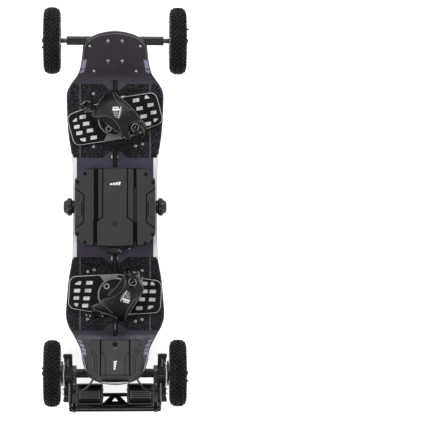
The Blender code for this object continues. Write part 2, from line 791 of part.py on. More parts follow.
def make_guard(steer):
    """Make the bumper behind the motors: three rails between two side plates, and a brace."""
    motor = (axle_y("rear") - MOTOR_BEHIND, AXLE_Z)
    side_outline = [
        (-0.546, 0.043), (-0.546, 0.072), (-0.578, 0.100), (-0.578, 0.1215), (-0.599, 0.1215),
        (-0.6055, 0.112), (-0.6055, 0.067), (-0.572, 0.043),
    ]
    low, mid, top = RAILS
    guard = rod("guard_frame", RAIL_RADIUS, (-RAIL_HALF, *low), (RAIL_HALF, *low), 12, paint="anodised")
    for i, rail in enumerate((mid, top)):
        join(guard, rod(f"guard_rail_{i}", RAIL_RADIUS, (-RAIL_HALF, *rail), (RAIL_HALF, *rail), 12))
    for side in (-1, 1):
        join(guard, drive_plate(f"guard_side_{side}", [side_outline], 0.116, 0.127, side))
    cut(guard, drive_plate("guard_clearance", [circle(motor, 0.0333 / math.cos(math.pi / 24), 24)],
                           -0.14, 0.14, 1))
    carry(steer, guard, make_brace(low, mid))


def make_brace(low, mid):
    """Make the A-shaped brace of the low rail, with the broad band along the middle rail."""
    start, end = Vector((0, *low)), Vector((0, *mid))
    run = end - start
    frame = Matrix((Vector((-1, 0, 0)), run.normalized(), Vector((-1, 0, 0)).cross(run.normalized())))
    frame = frame.transposed().to_4x4()
    frame.translation = start
    edge = run.length + 0.003
    band = edge - BRACE_BAND
    outline = [
        (-0.008, 0.0), (0.008, 0.0), (0.034, band), (BRACE_HALF, band), (BRACE_HALF, edge),
        (-BRACE_HALF, edge), (-BRACE_HALF, band), (-0.034, band),
    ]
    window = [(0.0, 0.012), (0.0095, band - 0.0035), (-0.0095, band - 0.0035)]
    clear = RAIL_RADIUS + GAP
    return plate("guard_brace", [outline, window], clear, clear + 0.004, frame, "anodised")


# Bindings

def make_binding(end):
    """Make one foot binding: base plate, foot pad, turning disc, vamp and ratchet lever."""
    frame = Matrix.Translation((0, BINDING_Y[end], GRIP_HIGH + GAP))
    frame = frame @ Matrix.Rotation(BINDING_TURN[end], 4, "Z")
    mirror = 1 if end == "front" else -1
    base_top = BASE_THICKNESS
    plate(f"{end}_binding_base", [rounded(BINDING_OUTLINE, 0.022, 3)], 0, base_top, frame, "black")
    pad_low = base_top + GAP
    pad = plate(f"{end}_foot_pad", [rounded(inset(BINDING_OUTLINE, 0.006), 0.018, 3)],
                pad_low, pad_low + PAD_THICKNESS, frame, "fabric")
    cut(pad, rod(f"{end}_disc_hole", DISC_RADIUS + 0.0008, (0, 0, -0.01), (0, 0, 0.05), 24, frame))
    turned(
        f"{end}_binding_disc",
        [(0, 0.012), (0.012, 0.012), (0.012, 0.008), (0.045, 0.008), (0.045, 0.0125),
         (DISC_RADIUS, 0.0125), (DISC_RADIUS, pad_low), (0, pad_low)],
        24, frame, "steel", closed=False,
    )
    make_vamp(end, frame, mirror)
    make_lever(end, frame, mirror)


def vamp_height(lean, across):
    """Return the height of the vamp's outer side at an angle from its crown and a place across."""
    return VAMP_RISE * math.cos(lean) ** 0.7 - VAMP_DROOP * (across / VAMP_EDGE) ** 2


def make_vamp(end, frame, mirror):
    """Make the padded diamond that arches over the foot, as a thickened sheet."""
    rows, columns = 12, 6
    bm = bmesh.new()
    bmesh.ops.create_grid(bm, x_segments=columns, y_segments=rows, size=1.0)
    for v in bm.verts:
        across, along = v.co.x, v.co.y * mirror
        peak = -VAMP_SKEW * math.copysign(1, across)
        span = 1 - peak * math.copysign(1, along - peak)
        width = VAMP_NECK + VAMP_REACH * (1 - abs(along - peak) / span)
        lean = v.co.y * math.radians(84)
        height = max(vamp_height(lean, across * width), 0.001)
        v.co = Vector((VAMP_OFFSET + across * width, VAMP_HALF_SPAN * math.sin(lean), height))
    vamp = from_bmesh(f"{end}_vamp", bm, frame, "fabric", math.radians(60))
    thicken = vamp.modifiers.new("thickness", "SOLIDIFY")
    thicken.thickness = VAMP_THICKNESS
    thicken.offset = -1.0


def make_lever(end, frame, mirror):
    """Make the ratchet lever on the vamp's outer side, hinged at its lower end."""
    lean = math.asin(LEVER_Y / VAMP_HALF_SPAN)
    surface = Vector((LEVER_X, -mirror * LEVER_Y, vamp_height(lean, LEVER_X - VAMP_OFFSET)))
    tilt = Matrix.Rotation(mirror * LEVER_TILT, 4, "X") @ Matrix.Rotation(LEVER_ROLL, 4, "Y")
    lever_frame = frame @ Matrix.Translation(surface) @ tilt
    corners = ((-0.013, -0.020), (0.013, -0.020), (0.013, 0.020), (-0.013, 0.020))
    lever = plate(f"{end}_ratchet_lever", [rounded(corners, 0.006, 2)], 0.0025, 0.0095,
                  lever_frame, "black")
    hinge = lever_frame @ Vector((0, -mirror * 0.018, 0.006))
    carry(joint(f"{end}_ratchet_axis", hinge, frame.to_3x3().col[0] * mirror), lever)


make_deck()
make_grips()
make_battery()
make_controller()
make_truck("front")
REAR_STEER, REAR_SPINS = make_truck("rear")
for WORD, SIDE in (("left", -1), ("right", 1)):
    make_drive(WORD, SIDE, REAR_STEER, REAR_SPINS[SIDE])
make_guard(REAR_STEER)
for END in ("front", "rear"):
    make_binding(END)
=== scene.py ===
"""Looks of the all-terrain electric skateboard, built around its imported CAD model.

X runs across the board, Y towards the nose and Z up. The tyres stand on Z = 0.
Lengths are in metres, apart from the tables that mm() turns from millimetres into metres.
"""

import math
from math import cos, pi, radians, sin

import bmesh
import bpy
from mathutils import Matrix, Vector
from mathutils.bvhtree import BVHTree


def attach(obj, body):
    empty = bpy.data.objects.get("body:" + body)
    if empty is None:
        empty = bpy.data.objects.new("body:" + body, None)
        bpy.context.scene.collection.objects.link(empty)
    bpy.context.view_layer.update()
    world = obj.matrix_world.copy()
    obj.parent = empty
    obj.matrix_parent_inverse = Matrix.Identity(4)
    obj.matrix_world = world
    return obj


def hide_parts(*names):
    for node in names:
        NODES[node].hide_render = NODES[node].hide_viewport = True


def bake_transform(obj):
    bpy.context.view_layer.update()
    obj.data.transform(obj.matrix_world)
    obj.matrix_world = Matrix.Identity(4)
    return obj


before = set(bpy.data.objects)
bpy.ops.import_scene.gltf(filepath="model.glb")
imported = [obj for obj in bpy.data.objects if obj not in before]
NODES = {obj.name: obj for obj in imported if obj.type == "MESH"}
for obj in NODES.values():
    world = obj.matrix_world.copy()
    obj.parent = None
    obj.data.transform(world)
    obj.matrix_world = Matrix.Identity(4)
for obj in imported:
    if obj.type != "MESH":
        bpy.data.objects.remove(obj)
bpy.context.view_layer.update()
SCENE = bpy.context.scene
TAU = 2 * pi
END_SIDE = {"front": 1, "rear": -1}
SIDES = (("left", -1), ("right", 1))
MIRRORED = (-1, 1)
move = Matrix.Translation


def mm(*points):
    """Return points that are given in millimetres."""
    return [tuple(v / 1000 for v in point) for point in points]


# Materials

def rgb(r, g, b):
    """Return the linear colour of a surface that looks this display colour under the lamps."""
    values = [((c / 255 + 0.055) / 1.055) ** 2.4 for c in (r, g, b)]
    return tuple(max(0.35 * c, (c - 0.03) / 0.94) for c in values) + (1.0,)


class Paint:
    """A node material that is built up layer by layer."""

    def __init__(self, name, colour, rough, **sockets):
        self.material = bpy.data.materials.new(name)
        self.material.use_nodes = True
        self.tree = self.material.node_tree
        self.shader = self.tree.nodes["Principled BSDF"]
        for socket, value in sockets.items():
            self.shader.inputs[socket.replace("_", " ")].default_value = value
        self.at = self.node("TexCoord").outputs["Object"]
        parts = self.node("SeparateXYZ", {"Vector": self.at}).outputs
        self.x, self.y, self.z = parts["X"], parts["Y"], parts["Z"]
        self.colour = colour
        self.rough = rough
        self.normal = None

    def node(self, kind, links=None, **settings):
        made = self.tree.nodes.new("ShaderNode" + kind)
        for key, value in settings.items():
            setattr(made, key, value)
        for key, value in (links or {}).items():
            if isinstance(value, bpy.types.NodeSocket):
                self.tree.links.new(value, made.inputs[key])
            elif value is not None:
                made.inputs[key].default_value = value
        return made

    def math(self, operation, *values):
        links = dict(enumerate(values))
        return self.node("Math", links, operation=operation).outputs[0]

    def noise(self, scale, detail=3.0, stretch=None):
        at = self.at
        if stretch:
            at = self.node("Mapping", {"Vector": at, "Scale": stretch}).outputs[0]
        links = {"Vector": at, "Scale": scale, "Detail": detail}
        return self.node("TexNoise", links).outputs["Fac"]

    def cells(self, scale, output="Distance", random=1.0, feature="F1"):
        links = {"Vector": self.at, "Scale": scale, "Randomness": random}
        return self.node("TexVoronoi", links, feature=feature).outputs[output]

    def step(self, value, low, high, first=0.0, last=1.0):
        links = {0: value, 1: low, 2: high, 3: first, 4: last}
        return self.node("MapRange", links).outputs[0]

    def tint(self, factor, colour):
        made = self.node("Mix", {0: factor, 6: self.colour, 7: colour}, data_type="RGBA")
        self.colour = made.outputs[2]
        return self

    def vary(self, scale, amount, detail=3.0):
        level = self.step(self.noise(scale, detail), 0.3, 0.7, 1 - amount, 1 + amount)
        made = self.node("HueSaturation", {"Value": level, "Color": self.colour})
        self.colour = made.outputs[0]
        return self

    def bump(self, height, depth):
        links = {"Height": height, "Distance": depth, "Normal": self.normal}
        self.normal = self.node("Bump", links).outputs[0]
        return self

    def polish(self, scale, low, high):
        self.rough = self.step(self.noise(scale), 0.35, 0.65, low, high)
        return self

    def scuff(self, colour, amount=0.6):
        edge = self.node("NewGeometry").outputs["Pointiness"]
        worn = self.math("MULTIPLY", self.step(edge, 0.515, 0.6), self.noise(160.0))
        return self.tint(self.math("MULTIPLY", worn, amount), colour)

    def done(self):
        for socket, value in (("Base Color", self.colour), ("Roughness", self.rough),
                              ("Normal", self.normal)):
            if isinstance(value, bpy.types.NodeSocket):
                self.tree.links.new(value, self.shader.inputs[socket])
            elif value is not None:
                self.shader.inputs[socket].default_value = value
        return self.material


def plastic(name, colour, rough, depth=0.00012, grain=1400.0, **sockets):
    """Return a moulded plastic with a fine spark-eroded texture."""
    paint = Paint(name, colour, rough, **sockets)
    paint.vary(18.0, 0.05).polish(35.0, rough - 0.05, rough + 0.05)
    paint.bump(paint.noise(grain, 2.0), depth)
    return paint.done()


def metal(name, colour, rough, stretch=(1, 1, 1), grain=600.0, depth=0.00005, metallic=1.0, **sockets):
    """Return a metal with a directional grain."""
    paint = Paint(name, colour, rough, Metallic=metallic, **sockets)
    paint.vary(30.0, 0.08)
    lines = paint.noise(grain, 4.0, stretch)
    paint.rough = paint.step(lines, 0.3, 0.7, rough - 0.08, rough + 0.1)
    paint.scuff(rgb(190, 190, 192), 0.5)
    paint.bump(lines, depth)
    return paint.done()


def rubber(name, colour, dust=0.35):
    """Return a tyre rubber with dusty low spots."""
    paint = Paint(name, colour, 0.72, Specular_IOR_Level=0.35)
    paint.vary(40.0, 0.18)
    powder = paint.step(paint.noise(85.0, 6.0), 0.5, 0.75, 0.0, dust)
    paint.tint(powder, rgb(62, 60, 58))
    paint.polish(60.0, 0.62, 0.85)
    paint.bump(paint.noise(1500.0, 3.0), 0.0003)
    return paint.done()


def woven(name, colour, pitch, depth=0.0004, **sockets):
    """Return a plain weave of a given thread pitch."""
    paint = Paint(name, colour, 0.86, **sockets)
    wave = TAU / pitch
    threads = []
    for axis in (paint.x, paint.y, paint.z):
        threads.append(paint.math("SINE", paint.math("MULTIPLY", axis, wave)))
    weave = paint.math("MULTIPLY", threads[0], threads[1])
    weave = paint.math("ADD", weave, paint.math("MULTIPLY", threads[2], 0.5))
    paint.vary(60.0, 0.2)
    paint.tint(paint.step(weave, -0.6, 0.9, 0.0, 0.35), rgb(70, 70, 74))
    paint.bump(weave, depth)
    return paint.done()


def leather(name, colour, rough, **sockets):
    """Return a soft synthetic leather with a pebbled grain and creases."""
    paint = Paint(name, colour, rough, **sockets)
    paint.vary(22.0, 0.22)
    paint.polish(30.0, rough - 0.08, rough + 0.1)
    paint.bump(paint.cells(700.0), 0.0004)
    paint.bump(paint.noise(60.0, 5.0), 0.0022)
    return paint.done()


def foam(name, colour):
    """Return a closed-cell foam."""
    paint = Paint(name, colour, 0.9, Specular_IOR_Level=0.25)
    paint.vary(150.0, 0.3, 6.0)
    paint.bump(paint.cells(900.0), 0.0005)
    paint.bump(paint.noise(220.0, 5.0), 0.0009)
    return paint.done()


def honeycomb(paint, pitch):
    """Return a small honeycomb ripple from three sets of waves."""
    waves = []
    for turn in (0, 60, 120):
        a = radians(turn)
        k = TAU / pitch
        along = paint.math("MULTIPLY_ADD", paint.y, k * sin(a),
                           paint.math("MULTIPLY", paint.x, k * cos(a)))
        waves.append(paint.math("COSINE", along))
    return paint.math("ADD", paint.math("ADD", waves[0], waves[1]), waves[2])


def deck_face(name, nose_brown):
    """Return the deck's printed film, charcoal with a violet cast and a fine honeycomb speckle."""
    paint = Paint(name, rgb(72, 68, 84), 0.5, Coat_Weight=0.15, Coat_Roughness=0.35)
    if nose_brown:
        paint.tint(paint.step(paint.y, 0.33, 0.42), rgb(67, 58, 64))
        paint.tint(paint.step(paint.y, -0.1, -0.16, 0.0, 0.6), rgb(72, 64, 74))
        paint.tint(paint.step(paint.y, -0.3, -0.37, 0.0, 0.9), rgb(60, 57, 70))
    comb = honeycomb(paint, 0.0065)
    paint.tint(paint.step(comb, 0.4, 2.6, 0.0, 0.45), rgb(96, 92, 108))
    paint.tint(paint.step(comb, -1.5, -0.9, 0.45, 0.0), rgb(44, 40, 52))
    paint.vary(260.0, 0.22, 5.0)
    paint.vary(9.0, 0.1)
    paint.polish(50.0, 0.42, 0.6)
    paint.bump(comb, 0.00006)
    paint.bump(paint.noise(1300.0, 2.0), 0.0001)
    return paint.done()


def band_face(name, fades):
    """Return the white band along the deck's edge, which fades into the deck towards its ends."""
    paint = Paint(name, rgb(240, 240, 243), 0.42, Coat_Weight=0.2, Coat_Roughness=0.3)
    if fades:
        away = paint.math("ABSOLUTE", paint.math("SUBTRACT", paint.y, 0.009))
        paint.tint(paint.step(away, 0.19, 0.31), rgb(86, 80, 98))
    paint.tint(paint.step(paint.noise(120.0, 6.0), 0.55, 0.8, 0.0, 0.25), rgb(205, 203, 210))
    paint.polish(60.0, 0.36, 0.5)
    paint.bump(paint.noise(900.0, 2.0), 0.00008)
    return paint.done()


def grip_face():
    """Return the coarse black grip with pale grains as painted glints, which also get a lower roughness,
    and a thin pale line along each side.
    """
    paint = Paint("grip_tape", rgb(21, 20, 24), 0.88, Specular_IOR_Level=0.4)
    paint.vary(300.0, 0.45, 6.0)
    grain = paint.node("SeparateColor", {"Color": paint.cells(560.0, "Color")}).outputs
    # The pale tint on random grains is painted glint.
    paint.tint(paint.step(grain[0], 0.82, 0.97, 0.0, 0.7), rgb(104, 102, 116))
    side = paint.math("SUBTRACT", paint.math("ABSOLUTE", paint.x), 0.1045)
    line = paint.step(paint.math("ABSOLUTE", side), 0.001, 0.0016, 0.85, 0.0)
    paint.tint(line, rgb(118, 115, 128))
    paint.rough = paint.step(grain[1], 0.8, 0.95, 0.9, 0.45)
    paint.bump(paint.cells(1100.0), 0.0007)
    paint.bump(paint.noise(500.0, 4.0), 0.0007)
    return paint.done()


def decal_face():
    """Return the pale violet corner flashes with slanting dark stripes."""
    paint = Paint("corner_flash", rgb(150, 141, 164), 0.5)
    slant = paint.math("MULTIPLY_ADD", paint.math("ABSOLUTE", paint.x), 0.35,
                       paint.math("ABSOLUTE", paint.y))
    stripes = paint.math("SINE", paint.math("MULTIPLY", slant, TAU / 0.011))
    near = paint.step(paint.math("ABSOLUTE", paint.y), 0.42, 0.424, 1.0, 0.0)
    paint.tint(paint.math("MULTIPLY", paint.step(stripes, 0.35, 0.6), near), rgb(80, 74, 92))
    paint.vary(400.0, 0.12, 5.0)
    paint.bump(paint.noise(900.0), 0.00008)
    return paint.done()


def drive_face():
    """Return the belt cases' plastic, with a pale painted highlight across its rounded top over the
    pulley, painted shade before and behind it, and mid grey towards the motor.
    """
    paint = Paint("drive_case", rgb(72, 72, 73), 0.34, Specular_IOR_Level=0.22)
    # Painted light: black as painted shade ahead of the pulley and behind it, the pale base between as a
    # painted highlight on the rounded top, mid grey again towards the motor.
    paint.tint(paint.step(paint.y, -0.4695, -0.4665), rgb(10, 10, 11))
    paint.tint(paint.step(paint.y, -0.497, -0.513), rgb(8, 8, 9))
    paint.tint(paint.step(paint.y, -0.527, -0.531), rgb(56, 56, 57))
    paint.vary(60.0, 0.2)
    paint.bump(paint.noise(1400.0), 0.00012)
    return paint.done()


def cell_wrap():
    """Return the battery's shrink wrap."""
    paint = Paint("cell_wrap", rgb(40, 86, 150), 0.35)
    paint.vary(25.0, 0.15)
    paint.bump(paint.noise(70.0, 5.0), 0.001)
    return paint.done()


def circuit():
    """Return a circuit board's solder mask with tracks."""
    paint = Paint("solder_mask", rgb(22, 92, 52), 0.4)
    tracks = paint.cells(180.0, random=0.4, feature="DISTANCE_TO_EDGE")
    paint.tint(paint.step(tracks, 0.03, 0.06, 0.6, 0.0), rgb(150, 130, 60))
    paint.bump(tracks, 0.0003)
    return paint.done()


def copper_windings():
    """Return enamelled copper wire wound around the stator."""
    paint = Paint("enamelled_copper", rgb(176, 96, 48), 0.32, Metallic=0.9)
    turns = paint.math("SINE", paint.math("MULTIPLY", paint.x, TAU / 0.0012))
    paint.vary(80.0, 0.2)
    paint.bump(turns, 0.0004)
    return paint.done()


DECK_TOP_FACE = deck_face("deck_film_top", True)
DECK_UNDER_FACE = deck_face("deck_film_under", False)
BAND_TOP = band_face("deck_band_top", False)
BAND_UNDER = band_face("deck_band_under", True)
DECK_EDGE = plastic("deck_edge_black", rgb(26, 25, 29), 0.5)
SILVER_LINE = metal("silver_line", rgb(160, 160, 168), 0.35, metallic=0.6)
WHITE_PRINT = band_face("white_print", False)
GRIP = grip_face()
FLASH = decal_face()
CASE = plastic("case_plastic", rgb(70, 70, 71), 0.58, Specular_IOR_Level=0.4)
# Near black with little specular: painted shade in grooves, motor slots and by the controller's lip, and
# the real black of screws, lever parts and other small parts.
CASE_DARK = plastic("case_groove", rgb(9, 9, 9), 0.62, Specular_IOR_Level=0.12)
BLACK = plastic("black_plastic_fine", rgb(26, 26, 27), 0.42)
GLOSS = plastic("gloss_black", rgb(14, 14, 15), 0.26, 0.00003, Specular_IOR_Level=0.4)
CABLE = plastic("cable_sleeve", rgb(22, 22, 24), 0.25, 0.00005, Coat_Weight=0.5)
DRIVE_CASE = drive_face()
TYRE = rubber("tyre_rubber", rgb(38, 38, 38))
# The carcass between the tread blocks is darker than the blocks, as painted shade in the gaps.
TYRE_GAP_SHADE = rubber("tyre_carcass", rgb(12, 12, 12), 0.1)
STEEL = metal("steel_bright", rgb(196, 196, 200), 0.26, (1, 60, 60))
ZINC = metal("zinc_screw", rgb(214, 214, 218), 0.36, metallic=0.35)
BLACK_OXIDE = metal("black_oxide", rgb(24, 24, 26), 0.36, metallic=0.3, Specular_IOR_Level=0.2)
HANGER = metal("hanger_black", rgb(32, 32, 34), 0.36, (1, 1, 1), 500.0, 0.00015, 0.35)
HANGER_FACE = metal("hanger_face", rgb(66, 66, 68), 0.48, (6, 80, 80), 300.0, 0.0001, 0.35)
MOUNT = metal("mount_black", rgb(28, 28, 30), 0.4, (1, 40, 4), 300.0, 0.00006, 0.2,
              Specular_IOR_Level=0.25)
PULLEY = metal("pulley_alloy", rgb(176, 176, 178), 0.3, (1, 50, 50), 400.0)
RIM = metal("rim_black", rgb(40, 40, 42), 0.34, metallic=0.4)
POWDER = plastic("powder_coat", rgb(16, 16, 17), 0.3, 0.00015, 900.0, Specular_IOR_Level=0.3)
# The can is near black with little specular, partly its own black and partly painted shade.
MOTOR = metal("motor_can", rgb(10, 10, 11), 0.42, (1, 40, 40), 400.0, 0.00006, 0.0,
              Specular_IOR_Level=0.1)
# The light grey ribs between the slots are painted highlights.
MOTOR_RIB_HIGHLIGHT = metal("motor_rib", rgb(112, 112, 114), 0.36, (1, 40, 40), 400.0, 0.00006, 0.4)
CASE_STRIP = metal("case_strip", rgb(118, 118, 120), 0.4, (40, 1, 40), 300.0, 0.00006, 0.4)
ORANGE = rubber("shock_orange", rgb(214, 98, 28), 0.05)
VAMP = leather("vamp_leather", rgb(14, 13, 15), 0.4, Specular_IOR_Level=0.42)
VAMP_LINING = woven("vamp_lining", rgb(24, 24, 25), 0.0016)
PANEL = woven("vamp_mesh_panel", rgb(14, 14, 15), 0.0022, 0.0008)
PIPING = woven("piping_thread", rgb(132, 132, 136), 0.001)
STRAP = plastic("strap_black", rgb(20, 20, 21), 0.35)
TOE_GREY = plastic("toe_grey", rgb(128, 128, 130), 0.6)
PRINT_GREY = plastic("print_grey", rgb(150, 150, 156), 0.5)
TOE_DARK = plastic("toe_dark", rgb(66, 67, 61), 0.45)
PALE = plastic("pale_plastic", rgb(178, 178, 182), 0.5)
FOAM = foam("pad_foam", rgb(40, 38, 43))
WINDOW = woven("window_rubber", rgb(240, 240, 243), 0.0026, 0.0005)
RING = metal("disc_ring", rgb(132, 132, 138), 0.42, (40, 40, 1), 300.0, 0.00008, 0.5)
EMBLEM = band_face("emblem_print", False)
# Pale plastic for the front pad's pale triangle, and the base plates' painted edge highlight.
PALE_PRINT_AND_EDGE_HIGHLIGHT = plastic("light_trim", rgb(226, 226, 230), 0.45)
LENS = plastic("lamp_lens", rgb(150, 150, 156), 0.2, 0.00002)
CELLS = cell_wrap()
CIRCUIT = circuit()
COPPER = copper_windings()

FINISHES = {
    "deck": DECK_TOP_FACE, "grip": GRIP, "case": CASE, "black_plastic": BLACK, "tyre": TYRE,
    "rim": RIM, "steel": STEEL, "hanger": HANGER, "mount": MOUNT, "pulley": PULLEY,
    "shock": ORANGE, "vamp": VAMP, "foot_pad": FOAM, "disc": RING, "windings": COPPER,
    "circuit_board": CIRCUIT, "cells": CELLS, "lead": CABLE, "motor": MOTOR,
}
for node in NODES.values():
    for place in node.material_slots:
        place.material = FINISHES[place.material.name]


# Meshes

SCREW_SIDES = 24
SOCKET = 0.52  # width of a screw's socket, as a share of its head
SOCKET_DEPTH = 0.45  # depth of the socket, as a share of the head's height


class Shape:
    """A piece under construction, from closed parts that each have one material."""

    def __init__(self):
        self.points = []
        self.faces = []
        self.paints = []
        self.index = []

    def add(self, points, faces, paint, place=None):
        base = len(self.points)
        self.points += [place @ Vector(p) if place else Vector(p) for p in points]
        self.faces += [[base + i for i in face] for face in faces]
        if paint not in self.paints:
            self.paints.append(paint)
        self.index += [self.paints.index(paint)] * len(faces)
        return self

    def rings(self, rings, paint, place=None, closed=False, caps=True):
        """Join rings of the same number of points into a skin."""
        n = len(rings[0])
        points = [p for ring in rings for p in ring]
        faces = []
        for k in range(len(rings) if closed else len(rings) - 1):
            a, b = k * n, (k + 1) % len(rings) * n
            faces += [(a + i, a + (i + 1) % n, b + (i + 1) % n, b + i) for i in range(n)]
        if caps and not closed:
            faces += [tuple(range(n)), tuple(range(len(points) - n, len(points)))]
        return self.add(points, faces, paint, place)

    def lathe(self, profile, sides, paint, place=None, closed=False, reach=None):
        """Turn a profile of (height, radius) about the local Z axis."""
        rings = []
        for z, r in profile:
            ring = []
            for k in range(sides):
                a = TAU * k / sides
                radius = r * (reach(a, z) if reach else 1)
                ring.append((radius * cos(a), radius * sin(a), z))
            rings.append(ring)
        return self.rings(rings, paint, place, closed)

    def plate(self, outline, low, high, paint, place=None, chamfer=0.0005):
        """Thicken a flat outline, with chamfered edges."""
        small = inset(outline, chamfer)
        rings = [[(x, y, z) for x, y in edge] for edge, z in (
            (small, low), (outline, low + chamfer), (outline, high - chamfer), (small, high))]
        return self.rings(rings, paint, place)

    def block(self, size, centre, paint, place=None, chamfer=0.001):
        x, y, z = (v / 2 for v in size)
        outline = oblong(-x, -y, x, y, chamfer * 1.5, 2)
        shift = move(centre)
        return self.plate(outline, -z, z, paint, place @ shift if place else shift, chamfer)

    def tube(self, path, radius, sides, paint, place=None, closed=False):
        """Run a round section along a path; the radius may be a list."""
        path = [Vector(p) for p in path]
        radii = radius if isinstance(radius, (list, tuple)) else [radius] * len(path)
        rings = []
        side = None
        for k, at in enumerate(path):
            before = path[k - 1] if k or closed else path[0]
            after = path[(k + 1) % len(path)] if k + 1 < len(path) or closed else path[-1]
            ahead = (after - before).normalized()
            if side is None:
                side = ahead.orthogonal().normalized()
            side = (side - ahead * side.dot(ahead)).normalized()
            up = ahead.cross(side)
            rings.append([at + radii[k] * (side * cos(TAU * i / sides)
                                           + up * sin(TAU * i / sides)) for i in range(sides)])
        return self.rings(rings, paint, place, closed)

    def ribbon(self, path, ups, width, thick, paint, place=None, closed=False):
        """Run a flat section along a path, standing on the side that ups points away from."""
        path = [Vector(p) for p in path]
        rings = []
        last = len(path) - 1
        for k, at in enumerate(path):
            before = path[k - 1] if k or closed else path[0]
            after = path[(k + 1) % len(path)] if k < last or closed else path[-1]
            ahead = (after - before).normalized()
            up = Vector(ups[k]).normalized()
            side = ahead.cross(up).normalized() * width / 2
            up = side.cross(ahead).normalized() * thick
            trim = side * (1 - min(0.3, thick / width))
            rings.append([at - side, at + side, at + side + up * 0.6, at + trim + up,
                          at - trim + up, at - side + up * 0.6])
        return self.rings(rings, paint, place, closed)

    def screw(self, place, radius, height, paint=None):
        """Add a socket-head screw standing on the local Z axis."""
        turns = [TAU * k / SCREW_SIDES for k in range(SCREW_SIDES)]
        flats = SOCKET * radius * 0.87

        def ring(r, z, hexagon=False):
            reach = [r * (six(a) if hexagon else 1) for a in turns]
            return [(d * cos(a), d * sin(a), z) for d, a in zip(reach, turns)]

        def six(a):
            return 1 / cos((a + pi / 6) % (pi / 3) - pi / 6)

        rings = [ring(radius * 0.98, -height * 0.3), ring(radius, 0), ring(radius, height * 0.8),
                 ring(radius * 0.86, height), ring(SOCKET * radius * 1.2, height),
                 ring(flats, height, True), ring(flats, height * (1 - SOCKET_DEPTH), True)]
        return self.rings(rings, paint or ZINC, place)

    def mesh(self, name, angle=40.0, weld=False):
        made = bpy.data.meshes.new(name)
        made.from_pydata(self.points, [], self.faces)
        for paint in self.paints:
            made.materials.append(paint)
        made.polygons.foreach_set("material_index", self.index)
        bm = bmesh.new()
        bm.from_mesh(made)
        if weld:
            bmesh.ops.remove_doubles(bm, verts=bm.verts, dist=2e-6)
            bmesh.ops.dissolve_degenerate(bm, edges=bm.edges, dist=1e-7)
        bmesh.ops.recalc_face_normals(bm, faces=bm.faces)
        bm.to_mesh(made)
        bm.free()
        smooth(made, angle)
        return made

    def done(self, name, body, replaces=(), slot=None, angle=40.0, weld=False):
        return piece(name, self.mesh(name, angle, weld), body, replaces)

    def flexible(self, name, node, slot):
        """Make a piece that stands for a node lying between two bodies, and leave it loose on no body."""
        obj = loose(name, self.mesh(name, 60))
        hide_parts(node)
        return obj


def smooth(mesh, angle):
    """Shade a mesh smooth, but for its edges sharper than an angle in degrees."""
    mesh.polygons.foreach_set("use_smooth", [True] * len(mesh.polygons))
    mesh.set_sharp_from_angle(angle=radians(angle))
    mesh.update()


def piece(name, mesh, body, replaces=()):
    obj = loose(name, mesh)
    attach(obj, body)
    if replaces:
        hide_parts(*replaces)
    return obj


def area(outline):
    return sum(a[0] * b[1] - b[0] * a[1] for a, b in zip(outline, outline[1:] + outline[:1])) / 2


def inset(outline, distance):
    """Return an outline moved inwards by a distance, with mitred corners."""
    outline = [Vector(p) for p in outline]
    turn = 1 if area(outline) > 0 else -1
    moved = []
    for before, at, after in zip(outline[-1:] + outline[:-1], outline, outline[1:] + outline[:1]):
        a = (at - before).normalized()
        b = (after - at).normalized()
        na = Vector((-a.y, a.x)) * turn
        nb = Vector((-b.y, b.x)) * turn
        both = na + nb
        moved.append(tuple(at + both * (distance / max(0.2, both.dot(na)))))
    return moved


def rounded(corners, radius, steps=3):
    """Return an outline with each corner rounded to a radius."""
    corners = [Vector(c) for c in corners]
    points = []
    for before, at, after in zip(corners[-1:] + corners[:-1], corners, corners[1:] + corners[:1]):
        a = (before - at).normalized()
        b = (after - at).normalized()
        half = math.acos(max(-1, min(1, a.dot(b)))) / 2
        if half > radians(82):
            points.append(tuple(at))
            continue
        centre = at + (a + b).normalized() * (radius / sin(half))
        first = at + a * (radius / math.tan(half)) - centre
        last = at + b * (radius / math.tan(half)) - centre
        for k in range(steps + 1):
            points.append(tuple(centre + first.lerp(last, k / steps).normalized() * radius))
    return points


def oblong(x0, y0, x1, y1, radius, steps=3):
    """Return a rectangle's outline with rounded corners."""
    return rounded(((x0, y0), (x1, y0), (x1, y1), (x0, y1)), radius, steps)


def smooth_line(points, steps):
    """Return a Catmull-Rom line through points."""
    points = [Vector(p) for p in points]
    line = []
    for k in range(len(points) - 1):
        p0, p1 = points[max(k - 1, 0)], points[k]
        p2, p3 = points[k + 1], points[min(k + 2, len(points) - 1)]
        for i in range(steps):
            t = i / steps
            line.append(0.5 * (2 * p1 + (p2 - p0) * t + (2 * p0 - 5 * p1 + 4 * p2 - p3) * t * t
                               + (3 * p1 - p0 - 3 * p2 + p3) * t ** 3))
    return line + [points[-1]]


def settle(obj):
    """Apply every modifier of an object."""
    graph = bpy.context.evaluated_depsgraph_get()
    made = bpy.data.meshes.new_from_object(obj.evaluated_get(graph))
    old = obj.data
    obj.modifiers.clear()
    obj.data = made
    bpy.data.meshes.remove(old)
    return obj


def loose(name, mesh):
    """Return a new object in the scene that rides on nothing yet."""
    obj = bpy.data.objects.new(name, mesh)
    SCENE.collection.objects.link(obj)
    return obj


def carve(obj, cutter, bevel=0.0):
    """Cut a shape out of an object and round the edges."""
    if cutter:
        tool = loose(obj.name + "_tool", cutter.mesh(obj.name + "_tool"))
        cut = obj.modifiers.new("cut", "BOOLEAN")
        cut.operation = "DIFFERENCE"
        cut.solver = "EXACT"
        cut.material_mode = "TRANSFER"
        cut.use_self = True
        cut.object = tool
        settle(obj)
        bpy.data.objects.remove(tool)
    if bevel:
        soft = obj.modifiers.new("bevel", "BEVEL")
        soft.width = bevel
        soft.segments = 2
        soft.limit_method = "ANGLE"
        soft.angle_limit = radians(35)
        settle(obj)
    smooth(obj.data, 42)
    level = obj.modifiers.new("normals", "WEIGHTED_NORMAL")
    level.keep_sharp = True
    level.weight = 100
    settle(obj)
    return obj


